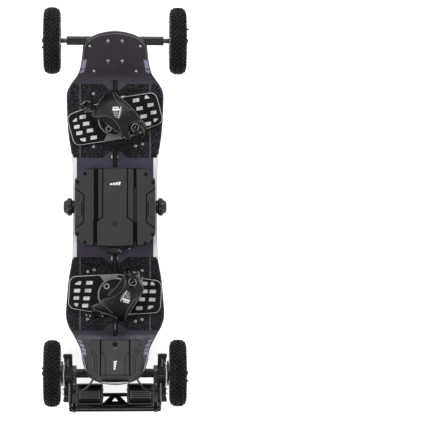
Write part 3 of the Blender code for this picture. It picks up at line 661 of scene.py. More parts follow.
def from_node(node, name, body, bevel, cutter=None):
    """Return a copy of a CAD node with softened edges and cuts, which stands for the node."""
    bm = bmesh.new()
    bm.from_mesh(NODES[node].data)
    bmesh.ops.remove_doubles(bm, verts=bm.verts, dist=2e-6)
    bmesh.ops.dissolve_limit(bm, angle_limit=radians(1), verts=bm.verts, edges=bm.edges)
    made = bpy.data.meshes.new(name)
    bm.to_mesh(made)
    bm.free()
    for place in NODES[node].material_slots:
        made.materials.append(place.material)
    return carve(piece(name, made, body, (node,)), cutter, bevel)


def axis_frame(origin, ahead, up=(0, 0, 1)):
    """Return a frame whose Z axis points ahead."""
    z = Vector(ahead).normalized()
    x = Vector(up).cross(z)
    if x.length < 1e-4:
        x = Vector((1, 0, 0)).cross(z)
    x.normalize()
    y = z.cross(x)
    made = Matrix((x, y, z)).transposed().to_4x4()
    made.translation = origin
    return made


# Camera, floor and light

CAMERA_AT = (0.0, -0.012, 6.1)
camera = bpy.data.cameras.new("camera")
camera.sensor_width = 36.0
camera.lens = 168.2
eye = loose("camera", camera)
eye.location = CAMERA_AT
eye.rotation_euler = (0, -math.atan(0.296 / 5.985), 0)
SCENE.camera = eye

SCENE.view_settings.view_transform = "Standard"
world = bpy.data.worlds.new("studio")
world.use_nodes = True
world.node_tree.nodes["Background"].inputs["Color"].default_value = (1, 1, 1, 1)
world.node_tree.nodes["Background"].inputs["Strength"].default_value = 0.3
SCENE.world = world


def lamp(name, at, aim, size, power):
    made = bpy.data.lights.new(name, "AREA")
    made.shape = "RECTANGLE"
    made.size, made.size_y = size
    made.energy = power
    obj = loose(name, made)
    obj.matrix_world = axis_frame(at, Vector(at) - Vector(aim), (0, 1, 0.01))


for lamp_name, lamp_at, lamp_size, lamp_power in (
        ("softbox_front", (0.2, 2.4, 2.4), (1.8, 0.8), 55),
        ("softbox_left", (-2.4, -0.3, 2.2), (0.7, 1.8), 43),
        ("softbox_right", (2.5, -1.4, 2.0), (0.6, 1.6), 26)):
    lamp(lamp_name, lamp_at, (0, 0, 0.1), lamp_size, lamp_power)

FLOOR_HALF = 20
ground = Shape().plate([(x * FLOOR_HALF, y * FLOOR_HALF) for x, y in ((-1, -1), (1, -1), (1, 1), (-1, 1))],
                       -0.02, 0, None).mesh("floor")
backdrop = Paint("studio_floor", rgb(243, 243, 243), 0.9, Specular_IOR_Level=0.1,
                 Emission_Color=(1, 1, 1, 1), Emission_Strength=0.8)
backdrop.tint(backdrop.step(backdrop.noise(3.0), 0.4, 0.7, 0.0, 0.3), rgb(240, 240, 241))
ground.materials.clear()
ground.materials.append(backdrop.done())
loose("floor", ground)


# Deck

MID_Y = 0.009
THICK = 0.014
UNDER = 0.098  # height of the underside between the kicks
KICK = radians(35)
BEND_RADIUS = 0.06
BEND_START = 0.388 - BEND_RADIUS * math.tan(KICK / 2)
BEND_RUN = BEND_RADIUS * sin(KICK)
KICK_MIDDLE = 0.461  # from the middle of the board to the middle of a kick
AXLE_HIGH = 0.1
AXLES = (("front", MID_Y + 0.498), ("rear", MID_Y - 0.498))
# where each rounded tip starts along the board, how far it reaches and its half width
NOSE_TIP = (0.48, 0.05, 0.096)
TAIL_TIP = (-0.47, -0.048, 0.091)
HALF_WIDTHS = mm((-470, 91), (-451, 97), (-418, 103), (-390, 117), (-365, 130), (-348, 139), (-319, 147),
                 (-262, 144), (-205, 138.5), (-144, 128), (-120, 127), (9, 125), (135, 127), (157, 128.5),
                 (220, 138.5), (279, 143), (336, 145), (355, 143), (380, 130), (412, 109), (447, 100),
                 (480, 96))


def underside(y):
    """Return the height of the deck's underside, and its slope towards the nose."""
    beyond = abs(y - MID_Y) - BEND_START
    side = math.copysign(1, y - MID_Y)
    if beyond <= 0:
        return UNDER, 0.0
    if beyond < BEND_RUN:
        arc = math.sqrt(BEND_RADIUS ** 2 - beyond ** 2)
        return UNDER + BEND_RADIUS - arc, side * beyond / arc
    rise = BEND_RADIUS * (1 - cos(KICK)) + (beyond - BEND_RUN) * math.tan(KICK)
    return UNDER + rise, side * math.tan(KICK)


def deck_at(x, y, high):
    """Return the point at a height above the deck's underside, square to it."""
    z, slope = underside(y)
    normal = Vector((0, -slope, 1)).normalized()
    return Vector((x, y, z)) + normal * high


def half_width(y):
    row = max(i for i in range(len(HALF_WIDTHS) - 1) if HALF_WIDTHS[i][0] <= y)
    (y0, w0), (y1, w1) = HALF_WIDTHS[row], HALF_WIDTHS[row + 1]
    slopes = []
    for k in (row, row + 1):
        before = HALF_WIDTHS[max(k - 1, 0)]
        after = HALF_WIDTHS[min(k + 1, len(HALF_WIDTHS) - 1)]
        slopes.append((after[1] - before[1]) / (after[0] - before[0]))
    run = y1 - y0
    t = (y - y0) / run
    return (w0 * (1 + 2 * t) * (1 - t) ** 2 + slopes[0] * run * t * (1 - t) ** 2
            + w1 * t ** 2 * (3 - 2 * t) + slopes[1] * run * t ** 2 * (t - 1))


def deck_side():
    """Return the right-hand outline from the tail's tip to the nose's tip, with its normals."""
    steps, rows = 14, 112

    def tip(place, turn):
        start, length, width = place
        return Vector((width * cos(turn), start + length * sin(turn)))

    points = [tip(TAIL_TIP, pi / 2 * (1 - k / steps)) for k in range(steps)]
    first, last = HALF_WIDTHS[0][0], HALF_WIDTHS[-1][0]
    for k in range(rows):
        y = first + (last - first) * k / rows
        points.append(Vector((half_width(y), y)))
    points += [tip(NOSE_TIP, pi / 2 * k / steps) for k in range(steps + 1)]
    points[0].x = points[-1].x = 0.0
    normals = []
    for k in range(len(points)):
        run = points[min(k + 1, len(points) - 1)] - points[max(k - 1, 0)]
        normals.append(Vector((run.y, -run.x)).normalized())
    normals[0] = Vector((0, -1))
    normals[-1] = Vector((0, 1))
    return points, normals


def waist(y):
    """Tell whether a place lies along the white band amidships."""
    return -0.15 < y < 0.166


def under_band(y):
    """Return the width of the white band on the underside, with its wider step amidships."""
    step = (0.03 - abs(y - MID_Y)) / 0.008
    return 0.014 + 0.0088 * max(0.0, min(1.0, step))


def make_deck():
    """Make the deck with rounded edges, its printed bands and the thin silver line at its ends."""
    points, normals = deck_side()
    top_edge = (0.0034, 0.0018, 0.001)
    wall = mm((0.9, 13.1), (0, 11), (0, 4.2), (0.9, 0.9))
    fractions = (0, 0.25, 0.5, 0.75, 1)
    rings = []
    for at, out in zip(points, normals):
        band = max(0.0095, at.x - 0.1145) if waist(at.y) else 0.0115
        low = under_band(at.y)
        half = []

        def across(inner, high, values):
            for f in values:
                edge = at - out * inner
                half.append(deck_at(edge.x * f, edge.y, high))

        across(band, THICK, fractions)
        for d in top_edge:
            across(d, THICK, (1,))
        for d, high in wall:
            across(d, high, (1,))
        across(0.003, 0.0, (1,))
        across(low, 0.0, fractions[::-1])
        mirrored = [Vector((-p.x, p.y, p.z)) for p in half[-2:0:-1]]
        rings.append(half + mirrored)
    shape = Shape()
    shape.rings(rings, DECK_TOP_FACE, caps=False)
    shape.paints = [DECK_TOP_FACE, BAND_TOP, SILVER_LINE, DECK_EDGE, BAND_UNDER, DECK_UNDER_FACE]
    top, band, line, edge, low_band, below = range(6)
    n = len(rings[0])
    half_count = n // 2 + 1
    shape.index = []
    for k in range(len(rings) - 1):
        y = (points[k].y + points[k + 1].y) / 2
        tip = y > 0.43 or y < -0.4
        for i in range(n):
            # the strip's place from the middle of the top round the edge to the middle below
            j = i if i < half_count - 1 else n - 1 - i
            if j < 4:
                kind = top
            elif j in (4, 6):
                kind = band if waist(y) else (top if j == 4 else edge)
            elif j == 5:
                kind = band if waist(y) else (line if tip else top)
            elif j in (10, 11) and tip:
                kind = line
            elif j < 12:
                kind = edge
            else:
                kind = low_band if j == 12 else below
            shape.index.append(kind)
    shape.done("deck_board", "board", ("deck",), "deck", 30, weld=True)


make_deck()


def on_kick(end):
    """Return the frame on the deck's top at the middle of a kick, with Z away from the deck."""
    side = END_SIDE[end]
    up = Vector((0, side * cos(KICK), sin(KICK)))
    away = Vector((0, -side * sin(KICK), cos(KICK)))
    made = Matrix((up.cross(away), up, away)).transposed().to_4x4()
    made.translation = deck_at(0, MID_Y + side * KICK_MIDDLE, THICK)
    return made


def kick_point(end, x, y):
    """Return the frame standing on a kick's top face at a place in plan."""
    base = on_kick(end)
    up = base.to_3x3().col[1]
    run = (y - base.translation.y) / up.y
    side = 1 if x * base.to_3x3().col[0].x > 0 else -1
    return base @ move((side * abs(x), run, 0))


def truck_bolts():
    """Make the nose's truck nuts on their studs, the rivets and the grip's eyelets."""
    shape = Shape()
    for x in (-0.021, 0.021):
        for y in (0.444, 0.5):
            at = kick_point("front", x, y)
            shape.lathe(mm((-1, 5.6), (1.1, 5.6), (1.5, 5), (1.5, 0)),
                        24, BLACK_OXIDE, at)
            shape.lathe(mm((1, 4.2), (1.6, 4.6), (5.2, 4.6), (6.4, 3.8), (6.4, 0)), 6, ZINC, at)
            shape.lathe(mm((5, 2.6), (15, 2.6), (15.8, 1.8), (15.8, 0)),
                        16, BLACK_OXIDE, at)
    for x, y in mm((-74.5, 485), (74.5, 485), (-63, 414.5), (63, 414.5)):
        shape.screw(kick_point("front", x, y), 0.0036, 0.0016)
    shape.done("nose_fasteners", "board", slot="steel")
    shape = Shape()
    for x, y in EYELETS:
        ring = move((x, y, 0.1138))
        shape.lathe(mm((-0.8, 4.2), (0.8, 4), (1.1, 3.4), (0.8, 2.6), (0.2, 2.2), (-0.8, 2.2)), 24, ZINC,
                    ring, closed=True)
        shape.lathe(mm((-0.5, 2.3), (0.2, 2.3), (0.2, 0)), 12, BLACK_OXIDE, ring)
    shape.done("grip_eyelets", "board", slot="steel")


EYELETS = mm((-64.3, 347.5), (-64.3, 189.5), (61.4, 191.5), (82.4, 197.5), (-81.6, -183.8), (-61.9, -179),
             (80.9, -181.5), (-82.8, -325.5), (60.9, -332.8), (80.9, -327.5))
truck_bolts()


def flashes():
    """Make the four pale corner flashes, printed on the deck close to its edge."""
    shape = Shape()
    for sign, rows in ((1, (0.412, 0.452)), (-1, (-0.394, -0.436))):
        for side in MIRRORED:
            path = []
            count = 10
            for k in range(count + 1):
                y = rows[0] + (rows[1] - rows[0]) * k / count
                outer = side * (half_width(y) - 0.0022)
                inner = side * (half_width(y) - 0.0022 - 0.0125)
                path.append([deck_at(x, y + shift, THICK + lift) for x, shift, lift in (
                    (outer, 0, -0.0001), (outer, 0, 0.00012),
                    (inner, sign * 0.004, 0.00012), (inner, sign * 0.004, -0.0001))])
            shape.rings(path, FLASH)
    shape.done("corner_flashes", "board", slot="deck")


flashes()


def strip_on_deck(points, width, low, high, paint, shape):
    """Lay a flat strip along a line on the deck, on its underside when high is negative."""
    rings = []
    for k, (x, y) in enumerate(points):
        x0, y0 = points[max(k - 1, 0)]
        x1, y1 = points[min(k + 1, len(points) - 1)]
        run = Vector((x1 - x0, y1 - y0)).normalized()
        side = Vector((run.y, -run.x)) * width / 2
        rings.append([deck_at(x + s * side.x, y + s * side.y, h)
                      for s, h in ((1, low), (1, high), (-1, high), (-1, low))])
    shape.rings(rings, paint)


def closed_strip(points, width, low, high, paint, shape):
    """Lay a closed outlined figure on the deck."""
    rings = [[deck_at(*outer, low), deck_at(*outer, high), deck_at(*inner, high), deck_at(*inner, low)]
             for outer, inner in zip(points, inset(points, width))]
    shape.rings(rings, paint, closed=True)


def under_graphics():
    """Make the two long lines and the row of plain chevrons on the underside."""
    shape = Shape()
    low, high = 0.0001, -0.00035
    for side in MIRRORED:
        for start, end in ((-0.395, -0.112 if side < 0 else -0.124),
                           (0.15 if side < 0 else 0.16, 0.415)):
            count = 24
            line = [(side * 0.0305, start + (end - start) * k / count) for k in range(count + 1)]
            strip_on_deck(line, 0.005, low, high, WHITE_PRINT, shape)
    for k in range(5):
        base = -0.098 + k * 0.046
        arm, tip = 0.03, 0.026
        figure = ((-0.033, base), (0, base + tip), (0.033, base), (0.033, base + arm),
                  (0, base + arm + tip), (-0.033, base + arm))
        closed_strip(rounded(figure, 0.003, 2), 0.0026, low, high, WHITE_PRINT, shape)
    shape.done("underside_print", "board", slot="deck")


under_graphics()


def centre_strip():
    """Make the cable channel down the middle of the deck, with its bright end clips."""
    shape = Shape()
    for y0, y1 in mm((353, 388.5), (129, 190), (-188, -132), (-380, -318)):
        shape.plate(oblong(-0.0065, y0, 0.0065, y1, 0.004, 4), 0.1121, 0.1153, GLOSS, chamfer=0.0008)
        ridge = oblong(-0.0028, y0 + 0.004, 0.0028, y1 - 0.004, 0.002, 2)
        shape.plate(ridge, 0.115, 0.116, BLACK, chamfer=0.0004)
    shape.done("cable_channel", "board", slot="black_plastic")
    shape = Shape()
    for x, y, length, paint in ((-0.0098, 0.1585, 0.011, PALE), (-0.0098, -0.144, 0.013, PALE),
                                (0.0085, -0.144, 0.011, RING), (0.0, -0.349, 0.02, RING),
                                (0.0085, 0.159, 0.008, RING)):
        outline = oblong(x - 0.0024, y - length / 2, x + 0.0024, y + length / 2, 0.002, 4)
        shape.plate(outline, 0.1122, 0.1163, paint, chamfer=0.0008)
    shape.done("channel_clips", "board", slot="steel")


centre_strip()


# Battery

LID_LOW, LID_TOP = 0.1503, 0.19


def groove(path, width, top, depth, shape, paint=None, place=None):
    """Add the cutter of a groove along a line, open upwards; its paint, near-black unless given, is
    painted shade on the groove's walls and floor.
    """
    path = [Vector(p) for p in path]
    rings = []
    for k, at in enumerate(path):
        a = (at - path[k - 1]).normalized() if k else (path[1] - at).normalized()
        b = (path[k + 1] - at).normalized() if k + 1 < len(path) else a
        na, nb = Vector((a.y, -a.x)), Vector((b.y, -b.x))
        side = (na + nb) * (width / 2 / max(0.3, (na + nb).dot(na)))
        left, right = at - side, at + side
        rings.append([(left.x, left.y, top + 0.004), (right.x, right.y, top + 0.004),
                      (right.x, right.y, top - depth), (left.x, left.y, top - depth)])
    shape.rings(rings, paint or CASE_DARK, place)


def charge_mark(shape, place, scale=1.0):
    """Add the plain white mark, a row of rising bars."""
    for k, high in enumerate((5.4, 6.8, 8.2, 9.6)):
        x, wide, tall = (v / 1000 * scale for v in (-15.5 + k * 8.0, 6.2, high))
        lean = tall * 0.3
        outline = ((x, 0), (x + wide, 0), (x + wide + lean, tall), (x + lean, tall))
        shape.plate(outline, -0.0002, 0.00025, EMBLEM, place, 0.0001)


LID_GROOVES = (
    # path in plan, width, depth, paint
    (mm((-56.3, 130), (-56.3, -33.5)), 0.0135, 0.003, CASE_DARK),
    (mm((-58.7, -30), (-58.7, -115)), 0.012, 0.0031, CASE_DARK),
    (mm((58.8, 130), (58.8, 66.5)), 0.009, 0.003, CASE_DARK),
    (mm((58.8, 68), (58.8, -40)), 0.0125, 0.0014, BLACK),
    (mm((59, -38), (59, -115)), 0.013, 0.0032, CASE_DARK),
    (mm((-36.2, 130), (-36.7, -21), (-57, -36.5)), 0.0036, 0.0026, CASE_DARK),
    (mm((36.6, 130), (36, -21), (57.5, -38)), 0.0036, 0.0027, CASE_DARK),
)
LID_SIDE_GROOVE = mm((121, 65.5), (92.4, 45.2), (92.4, -35.5), (121, -57))


def battery():
    """Make the battery's lid with its grooves, side plates, screws and plain mark."""
    front, back = 0.1232, -0.1065
    outline = rounded(((0.0, front), (0.092, front - 0.003), (0.1187, 0.09), (0.1187, -0.073),
                       (0.092, back + 0.003), (0.0, back), (-0.092, back + 0.003),
                       (-0.1187, -0.073), (-0.1187, 0.09), (-0.092, front - 0.003)), 0.01, 5)
    body = Shape().plate(outline, LID_LOW, LID_TOP, CASE, chamfer=0.0012)
    lid = body.done("battery_lid_shell", "board", ("battery_lid",), "case")
    cuts = Shape()
    # Each groove's paint, near-black or black, is painted shade in the groove.
    for path, wide, deep, paint in LID_GROOVES:
        groove(path, wide, LID_TOP, deep, cuts, paint)
    for side in MIRRORED:
        groove([(side * x, y) for x, y in LID_SIDE_GROOVE], 0.0032, LID_TOP, 0.0022, cuts)
    cuts.lathe([(LID_TOP - 0.0008, 0.0078), (LID_TOP + 0.004, 0.0078)], 32, CASE,
               move((-0.0004, -0.0421, 0)))
    carve(lid, cuts, 0.0006)
    trim = Shape()
    for side in MIRRORED:
        plate = [(side * x, y) for x, y in mm((117.8, 35), (108, 35), (99.2, 23), (99.2, -15),
                                              (108, -26.2), (117.8, -26.2))]
        trim.plate(rounded(plate, 0.003, 3), LID_TOP - 0.001, LID_TOP + 0.0012, CASE, chamfer=0.0006)
        edge = oblong(side * 0.0978 - 0.0014, -0.0165, side * 0.0978 + 0.0014, 0.0245, 0.001, 2)
        trim.plate(edge, LID_TOP - 0.001, LID_TOP + 0.0004, CASE_DARK, chamfer=0.0003)
        for y in (0.0285, -0.0198):
            trim.screw(move((side * 0.1085, y, LID_TOP + 0.0012)), 0.0027, 0.001,
                       BLACK_OXIDE)
    for x, y in LID_SCREWS:
        at = move((x, y, LID_TOP))
        trim.lathe(mm((-1, 6), (0.2, 6), (0.4, 5.4), (-0.2, 5.1), (-0.2, 0)), 24, CASE_DARK, at)
        trim.screw(at, 0.0038, 0.001, CASE_DARK)
    hole = move((-0.0004, -0.0421, LID_TOP - 0.0008))
    trim.lathe(mm((-0.4, 6.2), (0.6, 6), (0.8, 5.2), (0.3, 4.6), (0.3, 0)),
               32, BLACK, hole)
    charge_mark(trim, move((-0.0005, 0.0735, LID_TOP)), 1.0)
    for x in (-0.0565, 0.0588):
        trim.block((0.006, 0.012, 0.0015), (x, -0.1005, LID_TOP - 0.0026), BLACK, chamfer=0.0005)
    trim.done("battery_lid_trim", "board", slot="case")


LID_SCREWS = mm((-88.3, 107.1), (-110.2, 82.3), (90.7, 105.6), (111.7, 81.1), (-111.1, -70.5),
                (-89.5, -95.6), (110.8, -72.3), (88.7, -97.4))
battery()


def battery_fittings():
    """Make the tray's softened shell, the plug housing with its pins, and the two side knobs."""
    tray = from_node("battery_tray", "battery_tray_shell", "board", 0.001)
    tray.data.materials[0] = BLACK
    shape = Shape()
    shape.block((0.04, 0.0165, 0.02), (-0.0045, -0.1195, 0.1228), CASE, chamfer=0.0018)
    shape.block((0.041, 0.004, 0.012), (-0.0045, -0.129, 0.119), CASE_DARK, chamfer=0.001)
    for x, y in mm((11.2, -120), (16.5, -123.8)):
        shape.lathe(mm((0, 2), (1.4, 2), (1.9, 1.3), (1.9, 0)), 16, PALE,
                    move((x, y, 0.1328)))
    shape.screw(move((-0.0195, -0.1225, 0.1328)), 0.0028, 0.0008, BLACK_OXIDE)
    for x in (0.0285, 0.0345, 0.042):
        shape.block((0.0042, 0.006, 0.006), (x, -0.113, 0.124), CASE_DARK, chamfer=0.0008)
    shape.lathe(mm((0, 2.2), (1.2, 2.2), (1.6, 0)), 12, PALE,
                move((0.043, -0.115, 0.1266)))
    shape.done("battery_plug_housing", "board", ("battery_plug",), "black_plastic")
    lobes = 10
    profile = mm((0, 0), (0, 18.5), (1.2, 19.8), (6.2, 19.8), (7.2, 21.5), (8.2, 25.2), (10, 26.2),
                 (11.8, 25.5), (12.8, 26.2), (18.8, 26.2), (21.5, 24), (23.5, 20.5), (27, 19), (30, 17.2),
                 (32, 14), (32.6, 12), (31.6, 10.8), (31.6, 0))

    def reach(a, z):
        if z < 0.0072 or z > 0.0312:
            return 1.0
        wave = cos(lobes * a)
        return 0.965 + 0.045 * max(-0.7, min(0.75, 1.6 * wave)) / 0.75

    for word, side in SIDES:
        at = axis_frame((side * 0.1203, MID_Y, 0.15), (side, 0, 0))
        shape = Shape()
        shape.lathe(profile, 120, BLACK, at, reach=reach)
        shape.lathe(mm((30.8, 9.5), (32.2, 9.5), (32.6, 8.5), (32.6, 0)), 24,
                    GLOSS, at)
        shape.done(f"battery_knob_{word}_grip", f"battery_knob_{word}",
                   (f"battery_knob_{word}",), "black_plastic")


battery_fittings()


# Motor controller

ESC_BASE = THICK + 0.0003
ESC_TOP = ESC_BASE + 0.03


def tail_frame():
    """Return the frame on the deck's underside at the tail, with X across to the right."""
    up = Vector((0, -cos(KICK), sin(KICK)))
    away = Vector((0, sin(KICK), cos(KICK)))
    made = Matrix((Vector((1, 0, 0)), up, away)).transposed().to_4x4()
    y = MID_Y - KICK_MIDDLE
    made.translation = (0, y, underside(y)[0])
    return made


COVER_GROOVES = (
    # path on the cover's right half; each groove is as deep as it is wide
    (mm((43, -62), (43, 84)), 0.0044),
    (mm((72.5, -13), (60.5, 9.5), (59.5, 62)), 0.0016),
    (mm((68, -19), (53.5, 3.5), (52.5, 71)), 0.0016),
    (mm((40, -7), (29.5, 8), (27.5, 77)), 0.0014),
)


def controller():
    """Make the controller's cover with its panel lines, its button, lamp, mark and end lip, and the
    painted shade at its lower end.
    """
    tail = tail_frame()
    outline = rounded(mm((-72, -56), (72, -56), (83, -44), (83, 47), (46, 73), (-46, 73), (-83, 47),
                         (-83, -44)),
                      0.009, 5)
    rings = [[(x, y, z) for x, y in inset(outline, inwards)] for inwards, z in (
        (-0.0002, ESC_BASE), (-0.0002, ESC_BASE + 0.004), (0.0008, ESC_TOP - 0.008),
        (0.0025, ESC_TOP - 0.003), (0.0055, ESC_TOP - 0.0006), (0.0085, ESC_TOP))]
    body = Shape().rings(rings, CASE, tail)
    cover = body.done("controller_cover", "board", ("esc_cover",), "case")
    cuts = Shape()
    # The grooves and the button's hole are painted near-black, as painted shade.
    for side in MIRRORED:
        for path, wide in COVER_GROOVES:
            groove([(side * x, u) for x, u in path], wide, ESC_TOP, wide, cuts, place=tail)
    groove(mm((-44, -54.5), (0, -57), (44, -54.5)), 0.0042, ESC_TOP, 0.004, cuts,
           place=tail)
    cuts.lathe([(ESC_TOP - 0.012, 0.0078), (ESC_TOP + 0.01, 0.0078)], 32, CASE_DARK,
               tail @ move((0, -0.0342, 0)))
    carve(cover, cuts, 0.0)
    trim = Shape()
    lamp_at = tail @ move((0.0012, -0.021, ESC_TOP))
    trim.lathe(mm((-0.6, 2.2), (0.3, 2.1), (0.7, 1.2), (0.8, 0)), 20, LENS, lamp_at)
    trim.lathe(mm((-0.6, 3.2), (0.1, 3.2), (0.1, 2.2), (-0.6, 2.2)), 20,
               CASE_DARK, lamp_at, closed=True)
    mark = tail @ move((-0.0042, 0.0385, ESC_TOP)) @ Matrix.Rotation(-pi / 2, 4, "Z")
    charge_mark(trim, mark, 0.95)
    lip = rounded(mm((-41.5, 70), (41.5, 70), (40, 79.5), (22, 82.2), (0, 83), (-22, 82.2), (-40, 79.5)),
                  0.002, 2)
    trim.plate(lip, THICK - 0.0008, THICK + 0.003, PULLEY, tail, 0.001)
    # The near-black plate inside the lip is painted shade between the cover's end and the lip's edge.
    trim.plate(inset(lip, 0.0042), THICK + 0.0025, THICK + 0.0045, CASE_DARK, tail, 0.0005)
    for x, u in mm((-73.5, -33), (73.5, -33), (-72, 40), (72, 40)):
        spot = tail @ move((x, u, ESC_TOP))
        trim.lathe(mm((-1, 3), (0.2, 3), (0.3, 2.5), (-0.1, 2.4), (-0.1, 0)), 20, CASE_DARK, spot)
    trim.done("controller_trim", "board", slot="case")
    # A glossy black sheet on the deck round the cover's lower end is painted shadow, the shade between the
    # cover and the deck's edge.
    points, normals = deck_side()
    edge = [at - out * 0.0052 for at, out in zip(points, normals) if at.y < -0.462]
    edge[0].x = 0.004
    rings = [[deck_at(side * at.x, at.y, THICK + lift) for side, lift in (
        (1, -0.0004), (1, 0.0005), (-1, 0.0005), (-1, -0.0004))] for at in edge]
    Shape().rings(rings, GLOSS).done("tail_film", "board", slot="deck")
    button = Shape()
    place = tail @ move((0, -0.0342, 0))
    button.lathe([(ESC_TOP - 0.0085, 0), (ESC_TOP - 0.0085, 0.0069), (ESC_TOP + 0.0006, 0.0069),
                  (ESC_TOP + 0.0014, 0.0062), (ESC_TOP + 0.0012, 0.0046), (ESC_TOP + 0.0007, 0.0032),
                  (ESC_TOP + 0.0006, 0)], 36, CASE_DARK, place)
    button.lathe([(ESC_TOP + 0.0004, 0.0038), (ESC_TOP + 0.0013, 0.0036), (ESC_TOP + 0.0013, 0.003),
                  (ESC_TOP + 0.0004, 0.0028)], 28, CASE, place, closed=True)
    button.done("power_button_cap", "power_button", ("power_button",), "black_plastic")


controller()


# Trucks

def truck_point(end, x, u, v):
    """Return a point by a truck's base: across, up the kick and away from the underside."""
    side = END_SIDE[end]
    y = MID_Y + side * KICK_MIDDLE
    up = Vector((0, side * cos(KICK), sin(KICK)))
    away = Vector((0, side * sin(KICK), -cos(KICK)))
    return Vector((x, y, underside(y)[0])) + up * u + away * v


def pockets(y, spans, wide, top, deep, paint):
    """Return cutters for shallow rounded pockets along a bar's top and underside."""
    shape = Shape()
    for x0, x1 in spans:
        outline = oblong(x0, y - wide / 2, x1, y + wide / 2, wide * 0.45, 4)
        shape.plate(outline, top - deep, top + 0.01, paint, chamfer=0.0001)
        shape.plate(outline, 0.2 - top - 0.01, 0.2 - top + deep, paint, chamfer=0.0001)
    return shape


def trucks():
    """Make the trucks' castings, their shocks, washers and nuts."""
    for end, y in AXLES:
        body = f"{end}_hanger"
        reach = 0.138 if end == "front" else 0.112
        spans = [(-reach, -0.058), (0.058, reach)]
        cutter = pockets(y, spans, 0.0125, 0.113, 0.0012, HANGER_FACE)
        from_node(f"{end}_hanger", f"{end}_hanger_casting", body, 0.0012, cutter)
        from_node(f"{end}_truck_base", f"{end}_baseplate_casting", "board", 0.001, None)
        NODES[f"{end}_axle"].material_slots[0].material = BLACK_OXIDE
        trim = Shape()
        for side in MIRRORED:
            if end == "front":
                at = axis_frame((side * 0.145, y, AXLE_HIGH), (side, 0, 0))
                trim.lathe(mm((-1, 7), (15, 7), (16, 6.6), (16, 6.1), (-1, 6.1)), 32, BLACK_OXIDE, at,
                           closed=True)
            nut = axis_frame((side * 0.2125, y, AXLE_HIGH), (side, 0, 0))
            trim.lathe(mm((-0.8, 8.5), (0.3, 8.5), (0.7, 8), (0.7, 0)), 28,
                       ZINC, nut)
            trim.lathe(mm((0.5, 6.4), (1, 7.4), (4.2, 7.4), (5, 6.6), (5, 0)), 6, BLACK_OXIDE, nut)
            trim.lathe(mm((4.6, 5), (6.2, 4.8), (6.6, 4), (6.6, 0)), 24,
                       BLACK, nut)
        if end == "front":
            for x in (-0.025, -0.018, 0.018, 0.025):
                hole = axis_frame((x, y - 0.0118, 0.1085), (0, -0.7, 0.7))
                trim.lathe(mm((-1, 1.8), (1.2, 1.8), (1.4, 1.2), (0.8, 0)), 12,
                           ZINC, hole)
        else:
            for side in MIRRORED:
                cap = axis_frame((side * 0.1312, y, AXLE_HIGH), (side, 0, 0))
                trim.lathe(mm((-1, 10.5), (0.2, 10.5), (0.2, 6.2), (-1, 6.2)),
                           24, BLACK_OXIDE, cap, closed=True)
        trim.done(f"{end}_axle_hardware", body, slot="steel")
        washers = Shape()
        for near, far in mm((46, 51.2), (-46, -51.2)):
            ahead = truck_point(end, 0, far, 0.032) - truck_point(end, 0, near, 0.032)
            at = axis_frame(truck_point(end, 0, near * 1.03, 0.032), ahead, (1, 0, 0))
            washers.lathe(mm((0, 10.5), (1.2, 10.5), (1.5, 10), (1.5, 5.2), (0, 5.2)), 28, ZINC, at,
                          closed=True)
        washers.done(f"{end}_pivot_washers", "board", slot="steel")
        for word, x in (("left", -0.0235), ("right", 0.0235)):
            top = truck_point(end, x, -0.022, 0.0088)
            low = truck_point(end, x, -0.022, 0.0398)
            height = (low - top).length
            at = axis_frame(top, low - top, (1, 0, 0))
            profile = mm((0, 0), (0, 8.8))
            for k in range(9):
                z = height * (0.06 + 0.88 * k / 8)
                profile.append((z, 0.0088 - 0.0011 * (k % 2)))
            profile += [(height, 0.0088), (height, 0.0)]
            shape = Shape().lathe(profile, 36, ORANGE, at)
            shape.lathe(mm((-0.2, 0), (-0.2, 9.8), (1.6, 9.8), (2, 9), (2, 0)), 32, BLACK_OXIDE, at)
            made = shape.flexible(f"{end}_shock_{word}_rubber", f"{end}_shock_{word}", "shock")
            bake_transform(made)


trucks()


# Belt drives

AXLE_Y = AXLES[1][1]
MOTOR_Y = AXLE_Y - 0.062


